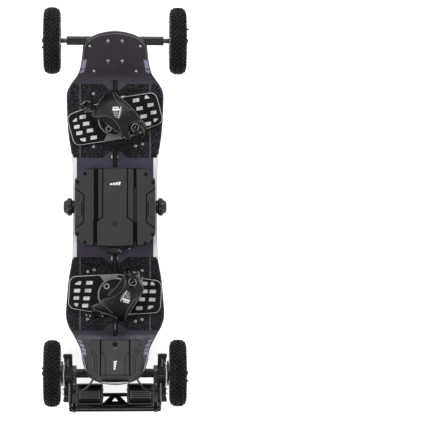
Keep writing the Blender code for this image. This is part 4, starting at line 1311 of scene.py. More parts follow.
def motor_can(shape, at):
    """Add a motor's slotted can, its end cap and shaft; Z runs outwards from the board's middle."""
    inner, outer = 0.036, 0.112
    radius = 0.0315
    slot_from, slot_to = inner + 0.0125, outer - 0.0085
    pitch = radians(10.5)
    groups = 4
    corners = []
    for group in range(groups):
        middle = TAU * group / groups
        for k in range(-2, 3):
            corners += [(middle + (k + v) * pitch, deep) for v, deep in
                        ((-0.3, False), (-0.22, True), (0.22, True), (0.3, False))]
        corners += [(middle + TAU * v / groups, False) for v in (0.36, 0.43, 0.5, 0.57, 0.64)]
    levels = [(inner, 0.0275, 0), (inner + 0.0006, 0.0293, 0), (inner + 0.0022, radius, 0),
              (inner + 0.0055, radius, 0), (inner + 0.006, radius - 0.0007, 0),
              (inner + 0.0068, radius - 0.0007, 0), (inner + 0.0073, radius, 0),
              (slot_from - 0.003, radius, 0), (slot_from, radius, 0),
              (slot_from + 0.0006, radius - 0.0014, 1), (slot_to - 0.0006, radius - 0.0014, 1),
              (slot_to, radius, 0), (slot_to + 0.003, radius, 0), (outer - 0.0012, radius, 0),
              (outer, radius - 0.0012, 0)]
    rings = []
    for z, r, cut in levels:
        ring = []
        for a, deep in corners:
            here = r if not cut or deep else radius
            ring.append((here * cos(a), here * sin(a), z))
        rings.append(ring)
    shape.rings(rings, MOTOR, at)
    # The slot floors are painted near-black as painted shade; the strips between and beside the slots are
    # painted light grey as highlights.
    shape.paints += [CASE_DARK, MOTOR_RIB_HIGHLIGHT]
    n = len(corners)
    first = len(shape.index) - (len(rings) - 1) * n - 2
    slotted = 19  # the first strips of each group, which lie between and beside its slots
    for i in range(n):
        place = i % (n // groups)
        floor = corners[i][1] and corners[(i + 1) % n][1]
        for row in range(7, 12):
            if floor and row in (8, 9, 10):
                shape.index[first + row * n + i] = len(shape.paints) - 2
            elif place < slotted:
                shape.index[first + row * n + i] = len(shape.paints) - 1
    shape.lathe([(inner - 0.0004, 0), (inner - 0.0004, 0.007), (inner + 0.0006, 0.0078),
                 (inner + 0.0012, 0.0078), (inner + 0.0012, 0)], 32, STEEL, at)
    for k in range(groups):
        a = TAU * (k + 0.5) / groups
        spot = at @ move((0.0165 * cos(a), 0.0165 * sin(a), inner))
        shape.screw(spot @ Matrix.Rotation(pi, 4, "X"), 0.0026, 0.0012, BLACK_OXIDE)
    shape.lathe([(outer - 0.001, 0), (outer - 0.001, 0.004), (0.1498, 0.004), (0.1498, 0)], 24,
                STEEL, at)


def drives():
    """Make the motors, belt cases, mounts, leads and the rear guard."""
    for word, side in SIDES:
        motor_at = axis_frame((0, MOTOR_Y, AXLE_HIGH), (side, 0, 0))
        shape = Shape()
        motor_can(shape, motor_at)
        shape.done(f"{word}_motor_housing", f"{word}_motor", (f"{word}_motor_can",), "motor", 30)
        case = from_node(f"{word}_belt_case", f"{word}_drive_cover", "rear_hanger", 0.0014, None)
        case.data.materials[0] = DRIVE_CASE
        for vertex in case.data.vertices:
            if abs(vertex.co.x) > 0.1495:
                vertex.co.x = side * (CASE_FACE + (abs(vertex.co.x) - 0.155) * 0.4)
        NODES[f"{word}_wheel_pulley"].material_slots[0].material = BLACK_OXIDE
        from_node(f"{word}_motor_mount", f"{word}_mount_plate", "rear_hanger", 0.0009, None)
        trim = Shape()
        axle_at = axis_frame((side * CASE_FACE, AXLE_Y, AXLE_HIGH), (side, 0, 0))
        trim.lathe(mm((-1, 30), (0.8, 29.8), (1.2, 29), (1.2, 26.8), (-1, 26.8)), 48, BLACK_OXIDE, axle_at,
                   closed=True)
        for k in range(6):
            a = TAU * (k + 0.25) / 6
            at = Vector((side * CASE_FACE, AXLE_Y + 0.0475 * cos(a), 0.1 + 0.0475 * sin(a)))
            trim.screw(axis_frame(at, (side, 0, 0)), 0.003, 0.0016)
        for y, z in ((MOTOR_Y - 0.012, 0.1155), (MOTOR_Y - 0.012, 0.0845), (MOTOR_Y + 0.006, 0.1)):
            trim.screw(axis_frame((side * CASE_FACE, y, z), (side, 0, 0)), 0.003, 0.0016)
        for y, z in mm((-535.5, 115), (-550.3, 108)):
            stud = axis_frame((side * CASE_FACE, y, z), (side, 0, 0))
            trim.lathe(mm((-0.8, 1.4), (5, 1.4), (5.6, 1), (5.6, 0)), 14,
                       BLACK_OXIDE, stud)
        trim.block((0.028, 0.0112, 0.04), (side * 0.1415, -0.4362, 0.1), GLOSS, chamfer=0.0026)
        trim.block((0.0146, 0.0093, 0.02), (side * 0.1477, -0.5692, 0.1), GLOSS, chamfer=0.0015)
        trim.block((0.01, 0.013, 0.02), (side * 0.1337, -0.579, 0.1), MOUNT, chamfer=0.0015)
        for dy, paint in ((-0.0008, CASE_DARK), (-0.0038, CASE_STRIP)):
            trim.block((0.018, 0.0013, 0.0012), (side * 0.14, AXLE_Y + dy, 0.1547), paint,
                       chamfer=0.0003)
        for path, wide, paint in CASE_LINES:
            points = [(side * x, y, case_top(y)) for x, y in path]
            ups = [(0, *case_slope(y)) for x, y in path]
            trim.ribbon(points, ups, wide, 0.001, paint)
        rim = []
        for k in range(17):
            y = AXLE_Y - 0.002 + 0.038 * (k / 8 - 1)
            rim.append((side * (0.1534 - 0.005 * (k / 8 - 1) ** 2), y, case_top(y) - 0.0006))
        trim.tube(rim, [0.001 + 0.0011 * sin(pi * k / 16) for k in range(17)], 12, BRIGHT_RIM)
        for x, y in mm((144, -536.5), (145.5, -547.5), (122.5, -519)):
            spot = axis_frame((side * x, y, case_top(y) if x > 0.13 else 0.1325), (0, *case_slope(y)),
                              (1, 0, 0))
            trim.screw(spot, 0.0024, 0.0014, BLACK_OXIDE if x > 0.13 else None)
        gap_ring = axis_frame((side * 0.1126, MOTOR_Y, AXLE_HIGH), (side, 0, 0))
        trim.lathe(mm((0, 31.2), (3.4, 31.2), (3.4, 28.4), (0, 28.4)), 48, MOTOR, gap_ring,
                   closed=True)
        trim.done(f"{word}_drive_trim", "rear_hanger", slot="case")
        route = [(side * x, y, z) for x, y, z in LEAD_ROUTE]
        line = smooth_line(route, 5)
        shape = Shape().tube(line, 0.003, 16, CABLE)
        lead = shape.flexible(f"{word}_motor_lead", f"{word}_motor_cable", "lead")
        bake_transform(lead)
        grommet = axis_frame(line[-1] + (line[-2] - line[-1]) * 0.4, line[-2] - line[-1])
        shape = Shape().lathe(mm((-4, 5.6), (1, 5.6), (1.8, 4.8), (5.2, 4.2), (5.6, 3.6), (5.6, 3.1),
                                 (-4, 3.1)), 24, BLACK,
                              grommet, closed=True)
        shape.done(f"{word}_lead_grommet", "rear_hanger", slot="black_plastic")
        boot = axis_frame(line[0], line[1] - line[0])
        shape = Shape().lathe(mm((-6, 5.2), (1, 5), (5, 3.8), (5, 3.1), (-6, 3.1)), 24, BLACK, boot,
                              closed=True)
        shape.done(f"{word}_lead_boot", "board", slot="black_plastic")
    from_node("guard_frame", "guard_rails", "rear_hanger", 0.0007, None)
    from_node("guard_brace", "guard_centre_brace", "rear_hanger", 0.001, None)
    for name in ("guard_rails", "guard_centre_brace"):
        bpy.data.objects[name].data.materials[0] = POWDER
    shape = Shape()
    for side in MIRRORED:
        for y, z in mm((-601, 72), (-594, 114), (-558, 52)):
            at = axis_frame((side * 0.137, y, z), (side, 0, 0))
            shape.screw(at, 0.0042, 0.0016)
    shape.done("guard_bolts", "rear_hanger", slot="steel")


CASE_FACE = 0.1518
CASE_LINES = (
    # path in plan, width, paint
    (mm((139.5, -444.5), (141.2, -452), (138.8, -460), (140.5, -466)), 0.003, CASE_STRIP),
    (mm((136.2, -515), (136.2, -530), (136.2, -545), (136.2, -560), (136.2, -573.5)),
     0.006, CASE_STRIP),
    (mm((142, -554.5), (148, -555.5)), 0.0024, CASE_STRIP),
)
BRIGHT_RIM = metal("bright_rim", rgb(236, 236, 238), 0.34, metallic=0.3)


def case_top(y):
    """Return the height of a belt case's top over a place along the board."""
    if y > AXLE_Y + 0.0226:
        return 0.1545 - (y - AXLE_Y - 0.0226)
    if y > AXLE_Y - 0.0226:
        return 0.1545
    if y > MOTOR_Y - 0.01:
        return 0.1545 - (AXLE_Y - 0.0226 - y) * 0.0305 / 0.0494
    return 0.124 - (MOTOR_Y - 0.01 - y)


def case_slope(y):
    """Return the upward normal of a belt case's top, as its Y and Z parts."""
    rise = (case_top(y + 0.0005) - case_top(y - 0.0005)) / 0.001
    size = math.hypot(rise, 1)
    return -rise / size, 1 / size


LEAD_ROUTE = mm((60, -484, 163.5), (67, -505, 160), (81, -524, 153), (100, -537, 147.5), (114, -542, 143),
                (120.5, -543, 135.8))
drives()


# Wheels

TYRE_HALF = mm((0, 95.8), (7.5, 95.5), (13.5, 93.8), (18.2, 90.2), (21.8, 85.2), (23.6, 81.6),
               (24.3, 80.8), (24.1, 79.6), (24.9, 71.5), (24.4, 64), (23.6, 60.6), (24, 59.6),
               (22.9, 57.5), (21.3, 55.2), (20.6, 51.2))
TYRE_INSIDE = mm((18, 51.2), (19.6, 56), (21.6, 64), (21.9, 71.5), (20.2, 79), (15.6, 86.8), (8, 91.2),
                 (0, 92.2))
TREAD = (
    # place across, radius, lean, length around, width across, height, turn in plane
    (0.0038, 0.0957, 3, 0.0074, 0.006, 0.0043, 24),
    (0.0112, 0.0947, 14, 0.007, 0.0066, 0.0042, -20),
    (0.0182, 0.0904, 40, 0.0074, 0.007, 0.004, 10),
    (0.0229, 0.0838, 66, 0.006, 0.0058, 0.0018, 0),
)
TREAD_COUNT = 42


def tyre():
    """Return a tyre as a shape about its own axis, with staggered rows of tread blocks."""
    shape = Shape()
    mirrored = [(-z, r) for z, r in TYRE_HALF[:0:-1]], [(-z, r) for z, r in TYRE_INSIDE[-2::-1]]
    profile = [*mirrored[0], *TYRE_HALF, *TYRE_INSIDE, *mirrored[1]]
    # The carcass shows between the blocks in a darker rubber, painted shade.
    shape.lathe(profile, 96, TYRE_GAP_SHADE, closed=True)
    for row, (across, radius, lean, around, wide, high, turn) in enumerate(TREAD):
        for side in MIRRORED:
            for k in range(TREAD_COUNT):
                a = TAU * (k + 0.25 * side + 0.5 * (row % 2)) / TREAD_COUNT
                size = 1 + 0.12 * (k % 2)
                out = Vector((cos(a), sin(a), 0))
                along = Vector((-sin(a), cos(a), 0))
                tilt = radians(lean) * side
                up = out * cos(tilt) + Vector((0, 0, 1)) * sin(tilt)
                right = up.cross(along)
                at = Matrix((along, -right, up)).transposed().to_4x4()
                at.translation = out * radius + Vector((0, 0, across * side))
                at = at @ Matrix.Rotation(radians(turn) * side, 4, "Z")
                x, y = around * size / 2, wide / 2
                base = [(-x, -y), (x, -y), (x, y), (-x, y)]
                rings = []
                for shrink, z in ((0, -0.0012), (0, high * 0.45), (0.0005, high * 0.8), (0.0011, high)):
                    rings.append([(math.copysign(abs(p) - shrink, p), math.copysign(abs(q) - shrink, q), z)
                                  for p, q in base])
                shape.rings(rings, TYRE, at)
    return shape


def rim():
    """Return a spoked rim with its hub, bearings and bolts about its own axis, Z outwards."""
    shape = Shape()
    half = mm((10, 47.8), (20, 49.8), (20.8, 54), (22, 54.9), (23.6, 54.6), (24.1, 53.2), (23.6, 50),
              (21.5, 46.6), (12, 44))
    shape.lathe([(-z, r) for z, r in half[::-1]] + half, 72, RIM, closed=True)
    shape.lathe(mm((-23.2, 6.8), (-23.2, 14), (-20.5, 16.8), (-8, 18.5), (8, 18.5), (20.5, 16.8),
                   (23.2, 14), (23.2, 6.8)), 48, RIM,
                closed=True)
    for k in range(5):
        turn = Matrix.Rotation(TAU * k / 5, 4, "Z")
        spoke = rounded(mm((15, -6.2), (45.5, -4.2), (45.5, 4.2), (15, 6.2)),
                        0.001, 2)
        shape.plate(spoke, -0.015, 0.015, RIM, turn, 0.0016)
        rib = rounded(mm((18.5, -2.2), (43, -1.6), (43, 1.6), (18.5, 2.2)),
                      0.0008, 2)
        for low, high in mm((14.5, 17.2), (-17.2, -14.5)):
            shape.plate(rib, low, high, PULLEY, turn, 0.0007)
        for z, flip in ((0.0205, 0), (-0.0205, pi)):
            at = turn @ move((0.014 * cos(0.6), 0.014 * sin(0.6), z))
            shape.screw(at @ Matrix.Rotation(flip, 4, "X"), 0.0019, 0.0014)
    for z, ahead in ((0.0232, 1), (-0.0232, -1)):
        shape.lathe([(z, 0.0066), (z, 0.0112), (z + ahead * 0.0008, 0.0108), (z + ahead * 0.0008, 0.007)],
                    36, STEEL, closed=True)
    return shape


def valve(shape, at):
    """Add a bent tyre valve, which leans out between the spokes along the local X axis."""
    path = smooth_line(mm((44, 0, 4), (42, 0, 12), (38.5, 0, 20), (35, 0, 29)), 5)
    shape.tube(path, 0.0021, 14, GLOSS, at)
    ahead = path[-1] - path[-2]
    tip = at @ axis_frame(path[-1], ahead, (0, 1, 0))
    shape.lathe(mm((-4, 2.8), (3, 2.8), (3.8, 2), (3.8, 0)), 18, BLACK, tip)


def wheels():
    """Make the four wheels from one tyre and one rim."""
    tyre_shape, rim_shape = tyre(), rim()
    for end, y in AXLES:
        for word, side in SIDES:
            body = f"{end}_wheel_{word}"
            at = axis_frame((side * 0.188, y, AXLE_HIGH), (side, 0, 0))
            for kind, shape in (("tyre", tyre_shape), ("rim", rim_shape)):
                made = shape.mesh(f"{body}_{kind}", 35)
                made.transform(at)
                piece(f"{body}_{kind}", made, body, (f"{end}_{kind}_{word}",))
            shape = Shape()
            local = at.inverted().to_3x3() @ Vector(VALVES[end, word])
            angle = math.atan2(local.y, local.x)
            valve(shape, at @ Matrix.Rotation(angle, 4, "Z"))
            shape.done(f"{body}_valve", body, slot="black_plastic")


VALVES = {
    ("front", "left"): (0, -0.6, -1), ("front", "right"): (0, 1, 0.15),
    ("rear", "left"): (0, 0.4, -1), ("rear", "right"): (0, -0.7, -0.6),
}
wheels()


# Bindings

BINDING_PLACE = {"front": (0.272, radians(15)), "rear": (-0.253, radians(-3))}
BINDING_BASE = 0.1141
BASE_OUTLINE = mm((-140, -49), (0, -64), (140, -49), (140, 49), (0, 64), (-140, 49))
PAD_LOW, PAD_TOP = 0.0043, 0.0143
VAMP_SPAN = 0.077
VAMP_HIGH = 0.082
VAMP_FALL = 0.022
# Each pad's turn in degrees, then its windows' places in millimetres and their sizes.
WINDOWS = {
    "front": (-6, ((74.9, 37.6, 1), (78.8, 11.1, 1), (84.1, -14.6, 1), (90.5, -39.5, 1),
                   (109, 38.5, 0.7), (113, 12.9, 0.95), (115.8, -11, 0.9),
                   (116.5, -34.5, 0.65), (-91.6, 30.3, 1), (-87.2, 8.1, 1),
                   (-81.5, -14.4, 1), (-76.3, -37.8, 1), (-116.5, 27.4, 0.65),
                   (-116.5, 6.2, 0.85), (-113.7, -13.5, 0.95), (-109, -36, 0.9))),
    "rear": (3, ((-78.5, 32.2, 1), (-81.3, 8.6, 1), (-84.6, -14.7, 1),
                 (-87.5, -36.6, 0.95), (-111.8, 30, 0.9), (-113.9, 6.9, 0.95),
                 (-114.9, -15.2, 0.85), (-115, -35.5, 0.65), (86, 38, 0.9),
                 (87, 15, 1), (81.3, -9.2, 0.9), (74.5, -36.3, 1),
                 (110.8, 39.4, 0.65), (112, 15.9, 0.95), (111.2, -8.7, 1),
                 (108.1, -32, 0.85))),
}
# The vamp's left and right edges at places along the foot's crossing direction.
VAMP_EDGES = {
    "front": mm((77, -4, 16), (72, -18, 22), (64, -30.5, 26), (57, -37, 30), (50, -43, 36), (40, -52, 43),
                (32, -61, 48), (26, -65, 52), (18, -58, 56), (9, -46, 61), (0, -38, 65), (-13, -30, 70.5),
                (-22, -22, 75), (-28, -17.5, 73), (-36, -11, 60), (-45, -2, 48), (-54, 6, 38),
                (-62, 11, 32), (-70, 14, 30), (-77, 15, 30)),
    "rear": mm((77, 20, 36), (72, 26, 38.5), (62, 22, 48), (55, 19, 58), (46, 14, 70), (36, 7, 78),
               (26, 0, 85), (16, -8, 84), (6, -17, 79), (-3, -25, 74), (-12, -33, 69), (-20, -41, 64),
               (-28, -50, 59), (-34, -62, 56), (-40, -64, 53), (-46, -60, 50), (-52, -38, 46),
               (-60, -8, 40), (-68, 8, 34), (-77, 12, 30)),
}
SEAMS = {
    "front": (
        mm((13, 73), (14.4, 63.4), (17, 48.8), (25.9, 32.8), (41.5, 17.6), (58.5, 7.3)),
        mm((-60, 20), (-47.1, 15), (-33.8, 14.2), (-21.5, 10.4), (-7.3, -2.3), (2.6, -22.3), (5, -39.6),
           (8, -50)),
        mm((68, -26), (52, -33), (38, -44), (26, -56)),
    ),
    "rear": (
        mm((21.9, 56), (26.1, 37.1), (20, 17.9), (8.1, 4.7), (-6.2, -4.5), (-27.2, -11), (-38, -14)),
        mm((77.4, 1.4), (65.1, -3.3), (53.3, -16.5), (41.5, -36.2), (34.7, -58.4), (33, -68)),
        mm((-40, -23), (-22, -38), (-5, -52)),
    ),
}


def binding_frame(end):
    y, turn = BINDING_PLACE[end]
    return move((0, y, BINDING_BASE)) @ Matrix.Rotation(turn, 4, "Z")


def vamp_level(x, y):
    """Return the height of the vamp's outer side above the binding's base."""
    lean = math.asin(max(-1, min(1, y / VAMP_SPAN)))
    return max(0.0, VAMP_HIGH * cos(lean) ** 0.7 - VAMP_FALL * ((x - 0.008) / VAMP_HIGH) ** 2)


def edges_at(end, y):
    rows = VAMP_EDGES[end]
    for (y0, a0, b0), (y1, a1, b1) in zip(rows, rows[1:]):
        if y1 <= y <= y0:
            t = (y0 - y) / (y0 - y1)
            return a0 + (a1 - a0) * t, b0 + (b1 - b0) * t
    return rows[-1][1:]


def swell(obj, pressure, cap, steps):
    """Fill a closed mesh with a little pressure, as cloth, and keep how it settles."""
    before = [v.co.copy() for v in obj.data.vertices]
    cloth = obj.modifiers.new("cloth", "CLOTH")
    cloth.settings.quality = 5
    cloth.settings.mass = 0.25
    cloth.settings.use_pressure = True
    cloth.settings.uniform_pressure_force = pressure
    cloth.settings.tension_stiffness = 30
    cloth.settings.compression_stiffness = 30
    cloth.settings.shear_stiffness = 20
    cloth.settings.bending_stiffness = 2.0
    cloth.settings.effector_weights.gravity = 0
    cloth.point_cache.frame_start = 1
    cloth.point_cache.frame_end = steps
    for step in range(1, steps + 1):
        SCENE.frame_set(step)
    graph = bpy.context.evaluated_depsgraph_get()
    moved = [v.co.copy() for v in obj.evaluated_get(graph).data.vertices]
    obj.modifiers.clear()
    SCENE.frame_set(1)
    for v, old, new in zip(obj.data.vertices, before, moved):
        run = new - old
        if run.length > cap:
            run *= cap / run.length
        v.co = old + run
    obj.data.update()


def shell_faces(rows, columns):
    """Return the faces of a shell, from a grid of outer points followed by its inner points."""
    n = columns + 1
    total = n * (rows + 1)
    faces = []
    for i in range(rows):
        for k in range(columns):
            c = i * n + k
            faces.append((c, c + 1, c + n + 1, c + n))
            faces.append((total + c, total + c + n, total + c + n + 1, total + c + 1))
        for c in (i * n, i * n + columns):
            faces.append((c, c + n, total + c + n, total + c))
    for k in range(columns):
        for c in (k, rows * n + k):
            faces.append((c, c + 1, total + c + 1, total + c))
    return faces


def make_vamp(end):
    """Make the padded vamp over the foot as a simulated shell, and return the tools to dress it."""
    at = binding_frame(end)
    rows, columns = 44, 26
    thick = 0.0066
    outer, inner = [], []
    for i in range(rows + 1):
        lean = radians(-84 + 168 * i / rows)
        y = VAMP_SPAN * sin(lean)
        left, right = edges_at(end, y)
        for k in range(columns + 1):
            x = left + (right - left) * k / columns
            z = max(vamp_level(x, y), 0.0145 + thick)
            slope = sin(lean) * 0.9
            outer.append(Vector((x, y, z)))
            inner.append(Vector((x, y * (1 - thick / VAMP_SPAN * abs(slope)), z - thick)))
    shape = Shape().add(outer + inner, shell_faces(rows, columns), VAMP, at)
    made = shape.done(f"{end}_vamp_padding", "board", (f"{end}_vamp",), "vamp")
    mesh = made.modifiers.new("remesh", "REMESH")
    mesh.mode = "VOXEL"
    mesh.voxel_size = 0.0042
    settle(made)
    swell(made, 4.0, 0.0032, 20)
    relax = made.modifiers.new("smooth", "SMOOTH")
    relax.iterations = 3
    relax.factor = 0.4
    finer = made.modifiers.new("finer", "SUBSURF")
    finer.levels = finer.render_levels = 1
    settle(made)
    made.data.materials.clear()
    made.data.materials.append(VAMP)
    made.data.materials.append(VAMP_LINING)
    for face in made.data.polygons:
        radial = at.inverted() @ face.center
        outward = Vector((0, radial.y, radial.z)).dot(at.to_3x3().transposed() @ face.normal)
        face.material_index = 0 if outward > -0.01 else 1
    smooth(made.data, 180)
    return BVHTree.FromPolygons([v.co for v in made.data.vertices],
                                [tuple(p.vertices) for p in made.data.polygons])


def on_vamp(tree, at, x, y):
    """Return the point and normal of the vamp's outer side over a place in the binding's plan."""
    start = at @ Vector((x, y, 0.16))
    hit, normal, _, _ = tree.ray_cast(start, Vector((0, 0, -1)))
    if hit is None:
        return at @ Vector((x, y, vamp_level(x, y))), Vector((0, 0, 1))
    if normal.z < 0:
        normal = -normal
    return hit, normal


def drape(tree, at, points, steps=4, lift=0.0):
    """Return a line and its normals, laid over the vamp."""
    line = smooth_line([Vector((x, y, 0)) for x, y in points], steps)
    made, ups = [], []
    for p in line:
        hit, normal = on_vamp(tree, at, p.x, p.y)
        made.append(hit + normal * lift)
        ups.append(normal)
    return made, ups


def lay_panel(shape, tree, at, first, second, rows, columns, lift, thick, paint):
    """Lay a thin panel over the vamp between two lines."""
    a = smooth_line([Vector((x, y, 0)) for x, y in first], 6)
    b = smooth_line([Vector((x, y, 0)) for x, y in second], 6)

    def pick(line, t):
        place = t * (len(line) - 1)
        k = min(int(place), len(line) - 2)
        return line[k].lerp(line[k + 1], place - k)

    top, low = [], []
    for i in range(rows + 1):
        p, q = pick(a, i / rows), pick(b, i / rows)
        for k in range(columns + 1):
            at_plan = p.lerp(q, k / columns)
            hit, normal = on_vamp(tree, at, at_plan.x, at_plan.y)
            edge = min(i, rows - i, k, columns - k) == 0
            top.append(hit + normal * (lift if edge else lift + thick))
            low.append(hit - normal * 0.0008)
    shape.add(top + low, shell_faces(rows, columns), paint)


def dress_vamp(end, tree):
    """Make the vamp's piping, seams, panels, emblem and straps."""
    at = binding_frame(end)
    trim = Shape()
    rows = [r for r in VAMP_EDGES[end] if abs(r[0]) < 0.0735]
    edges = ([(left + 0.0024, y) for y, left, right in rows],
             [(right - 0.0024, y) for y, left, right in rows])
    for edge in edges:
        trim.tube(drape(tree, at, edge, 4, 0.0002)[0], 0.0011, 8, PIPING)
    for seam in SEAMS[end]:
        trim.tube(drape(tree, at, seam, 6, 0.0002)[0], 0.0008, 8, PIPING)
    trim.done(f"{end}_vamp_piping", "board", slot="vamp")
    panels = Shape()
    if end == "front":
        arch = SEAMS[end][1]
        edge = mm((-56, 14), (-43, 4), (-31, -9), (-17, -24), (-7, -35), (3, -46), (9, -53))
    else:
        arch = SEAMS[end][0]
        edge = mm((20.5, 53), (12, 40), (3, 26), (-9, 12), (-21, 0), (-31, -8), (-37, -13))
    lay_panel(panels, tree, at, arch, edge, 40, 10, 0.0004, 0.0007, PANEL)
    panels.done(f"{end}_vamp_arch_panel", "board", slot="vamp")
    emblem(end, tree, at)
    straps(end, at)


def emblem(end, tree, at):
    """Lay the plain print on the vamp, a slanting ladder of bars in an open frame."""
    shape = Shape()
    cx, cy, turn = {"front": (0.0085, 0.0125, -24), "rear": (0.034, -0.001, -205)}[end]
    turn = radians(turn)

    def spot(x, y):
        x, y = x / 1000, y / 1000
        return (cx + x * cos(turn) - y * sin(turn), cy + x * sin(turn) + y * cos(turn))

    bars = (
        # corners in millimetres, and whether the bar is bright
        ((-15, 15), (2, 19), (2.8, 16), (-14.5, 12), 1),
        ((-14.5, 10), (6, 14.2), (6.8, 8.5), (-13.8, 4.5), 1),
        ((-12, 1.8), (3.2, 4.8), (3.8, 1.8), (-11, -1.2), 0),
        ((-9.8, -3), (4.6, 0), (5, -3), (-8.8, -6), 0),
        ((-7.4, -7.8), (5.4, -5), (6, -8), (-6.2, -10.8), 0),
        ((8.2, 20.5), (10.4, 20), (8.5, -16), (6.4, -15.5), 1),
        ((12.5, 15), (14.2, 14.6), (12.8, -8.5), (11.2, -8), 0),
        ((-4, -12.5), (5, -10.5), (5.2, -12.8), (-2.8, -14.6), 0),
    )
    for *corners, bright in bars:
        a, b, c, d = (spot(*p) for p in corners)
        lay_panel(shape, tree, at, (a, b), (d, c), 6, 3, 0.00025, 0.0001,
                  EMBLEM if bright else PRINT_GREY)
    shape.done(f"{end}_vamp_print", "board", slot="vamp")


def straps(end, at):
    """Make the ladder straps, the toe strap, the fixed buckle and the straps' anchors."""
    shape = Shape()
    if end == "front":
        ladder = mm((-48, 40, 62.2), (-58, 47, 54), (-66, 54.5, 42), (-71, 60, 30), (-73, 63, 18.5),
                    (-73.5, 64.5, 6))
        low = mm((66, -30, 58.5), (73, -41, 50), (76, -52, 38), (75.5, -61, 26), (73.5, -66.5, 15),
                 (72, -69, 6))
    else:
        ladder = mm((-52, -40, 54), (-56, -50, 44), (-58, -58, 32), (-57, -63, 20), (-55, -65.5, 6))
        low = mm((60, 40, 58.5), (68, 49, 48), (71.5, 57, 35), (71.5, 63, 22), (70, 66.5, 6))
    toe = TOE_DARK if end == "front" else TOE_GREY
    for path, wide, paint in ((ladder, 0.02, STRAP), (low, 0.024, toe)):
        line = smooth_line([at @ Vector(p) for p in path], 5)
        middle = at @ Vector((0, 0, 0.02))
        ups = [(p - middle).normalized() for p in line]
        shape.ribbon(line, ups, wide, 0.0022, paint)
        for k in range(2, len(line) - 3, 2):
            ahead = (line[k + 1] - line[k]).normalized()
            side = ahead.cross(ups[k]).normalized()
            tooth = [line[k] - side * 0.0062, line[k] + side * 0.0062]
            out = side.cross(ahead).normalized()
            shape.ribbon([p + out * 0.002 for p in tooth], [out, out], 0.0022, 0.0014, CASE_DARK)
        foot = at.inverted() @ line[-1]
        anchor = at @ move((foot.x, foot.y - math.copysign(0.004, foot.y), 0.0045))
        shape.block((0.03, 0.013, 0.006), (0, 0, 0.002), BLACK, anchor, 0.0012)
        for dx in (-0.0085, 0.0085):
            spot = anchor @ move((dx, 0, 0.005))
            shape.screw(spot, 0.0026, 0.0012, BLACK_OXIDE)
    tip = mm((-88.5, 66.5), (-80, 70), (-70, 69), (-60, 66.5)) \
        if end == "front" else mm((-86, -64), (-74, -68), (-60, -66), (-44, -64), (-30, -67))
    line = smooth_line([at @ Vector((x, y, 0.004)) for x, y in tip], 5)
    shape.ribbon(line, [Vector((0, 0, 1))] * len(line), 0.012, 0.003, STRAP)
    for k in range(2, len(line) - 1, 4):
        spot = move(line[k] + Vector((0, 0, 0.003)))
        shape.lathe(mm((-0.5, 2.2), (0.6, 2), (0.9, 0)), 14, PALE, spot)
    x, y, turn = (0.068, -0.07, 12) if end == "front" else (0.056, 0.069, -8)
    spot = at @ move((x, y, 0.006)) @ Matrix.Rotation(radians(turn), 4, "Z")
    shape.block((0.013, 0.005, 0.003), (0, 0, 0), PALE, spot, 0.0007)
    shape.done(f"{end}_ladder_straps", "board", slot="black_plastic")
    arm = Shape()
    if end == "front":
        path = mm((-40, 36, 61), (-52, 40.5, 58), (-64, 44, 50), (-75, 46.5, 40), (-81, 47.5, 33))
    else:
        path = mm((-46, -33, 61), (-54, -37, 56), (-62, -41, 49), (-66, -44, 43))
    line = smooth_line([at @ Vector(p) for p in path], 6)
    middle = at @ Vector((0, 0, 0.01))
    ups = [(p - middle).normalized() for p in line]
    arm.ribbon([p - up * 0.0045 for p, up in zip(line, ups)], ups, 0.0165, 0.0062, VAMP)
    for side in MIRRORED:
        edge = []
        for k, p in enumerate(line):
            ahead = (line[min(k + 1, len(line) - 1)] - line[max(k - 1, 0)]).normalized()
            edge.append(p + ups[k] * 0.0012 + ahead.cross(ups[k]).normalized() * side * 0.007)
        arm.tube(edge, 0.0008, 8, PIPING)
    arm.done(f"{end}_strap_arm", "board", slot="vamp")


def lever_frame(end):
    flip = END_SIDE[end]
    x, y = 0.048, 0.044
    at = binding_frame(end) @ move((x, -flip * y, vamp_level(x, y)))
    return at @ Matrix.Rotation(flip * radians(30), 4, "X") @ Matrix.Rotation(
        radians(12), 4, "Y")


def ratchets():
    """Make the ratchet levers, and the buckles below them that the straps run through."""
    for end in ("front", "rear"):
        flip = END_SIDE[end]
        at = lever_frame(end)
        base = Shape()
        outline = oblong(-0.0145, -0.0215, 0.0145, 0.0215, 0.007, 5)
        base.plate(outline, -0.005, 0.0012, STRAP, at, 0.001)
        for side in MIRRORED:
            base.block((0.0022, 0.03, 0.0075), (side * 0.0146, 0, 0.001), CASE_DARK, at, 0.0007)
        pin = at @ axis_frame((0, -flip * 0.018, 0.0058), (1, 0, 0))
        base.lathe(mm((-16.5, 0), (-16.5, 2.2), (16.5, 2.2), (16.5, 0)), 20, BLACK_OXIDE,
                   pin)
        base.done(f"{end}_ratchet_base", "board", slot="black_plastic")
        lever = Shape()
        centre = flip * 0.006
        ring = at @ move((0, centre, 0))
        lever.lathe(mm((2.6, 0), (2.6, 11.2), (5.6, 11.2), (6.2, 9.6), (5.8, 0)),
                    40, CASE_DARK, ring)
        turns = [ring @ Vector((0.0112 * cos(TAU * k / 40), 0.0112 * sin(TAU * k / 40), 0.0068))
                 for k in range(40)]
        lever.tube(turns, 0.0014, 10, RING, closed=True)
        slot = ring @ Matrix.Rotation(radians(38), 4, "Z")
        lever.block((0.01, 0.0024, 0.0022), (0, 0, 0.0066), TOE_GREY, slot, 0.0006)
        handle = [(-0.0095, -flip * 0.0198), (0.0095, -flip * 0.0198), (0.0118, -flip * 0.006),
                  (0.0085, flip * -0.003), (-0.0085, flip * -0.003), (-0.0118, -flip * 0.006)]
        lever.plate(rounded(handle, 0.0022, 3), 0.0028, 0.0082, BLACK, at, 0.0009)
        for k in range(4):
            y = -flip * (0.007 + 0.0032 * k)
            lever.block((0.015, 0.0012, 0.0014), (0, y, 0.0084), CASE_DARK, at, 0.0003)
        lever.done(f"{end}_ratchet_handle", f"{end}_ratchet", (f"{end}_ratchet_lever",),
                   "black_plastic")


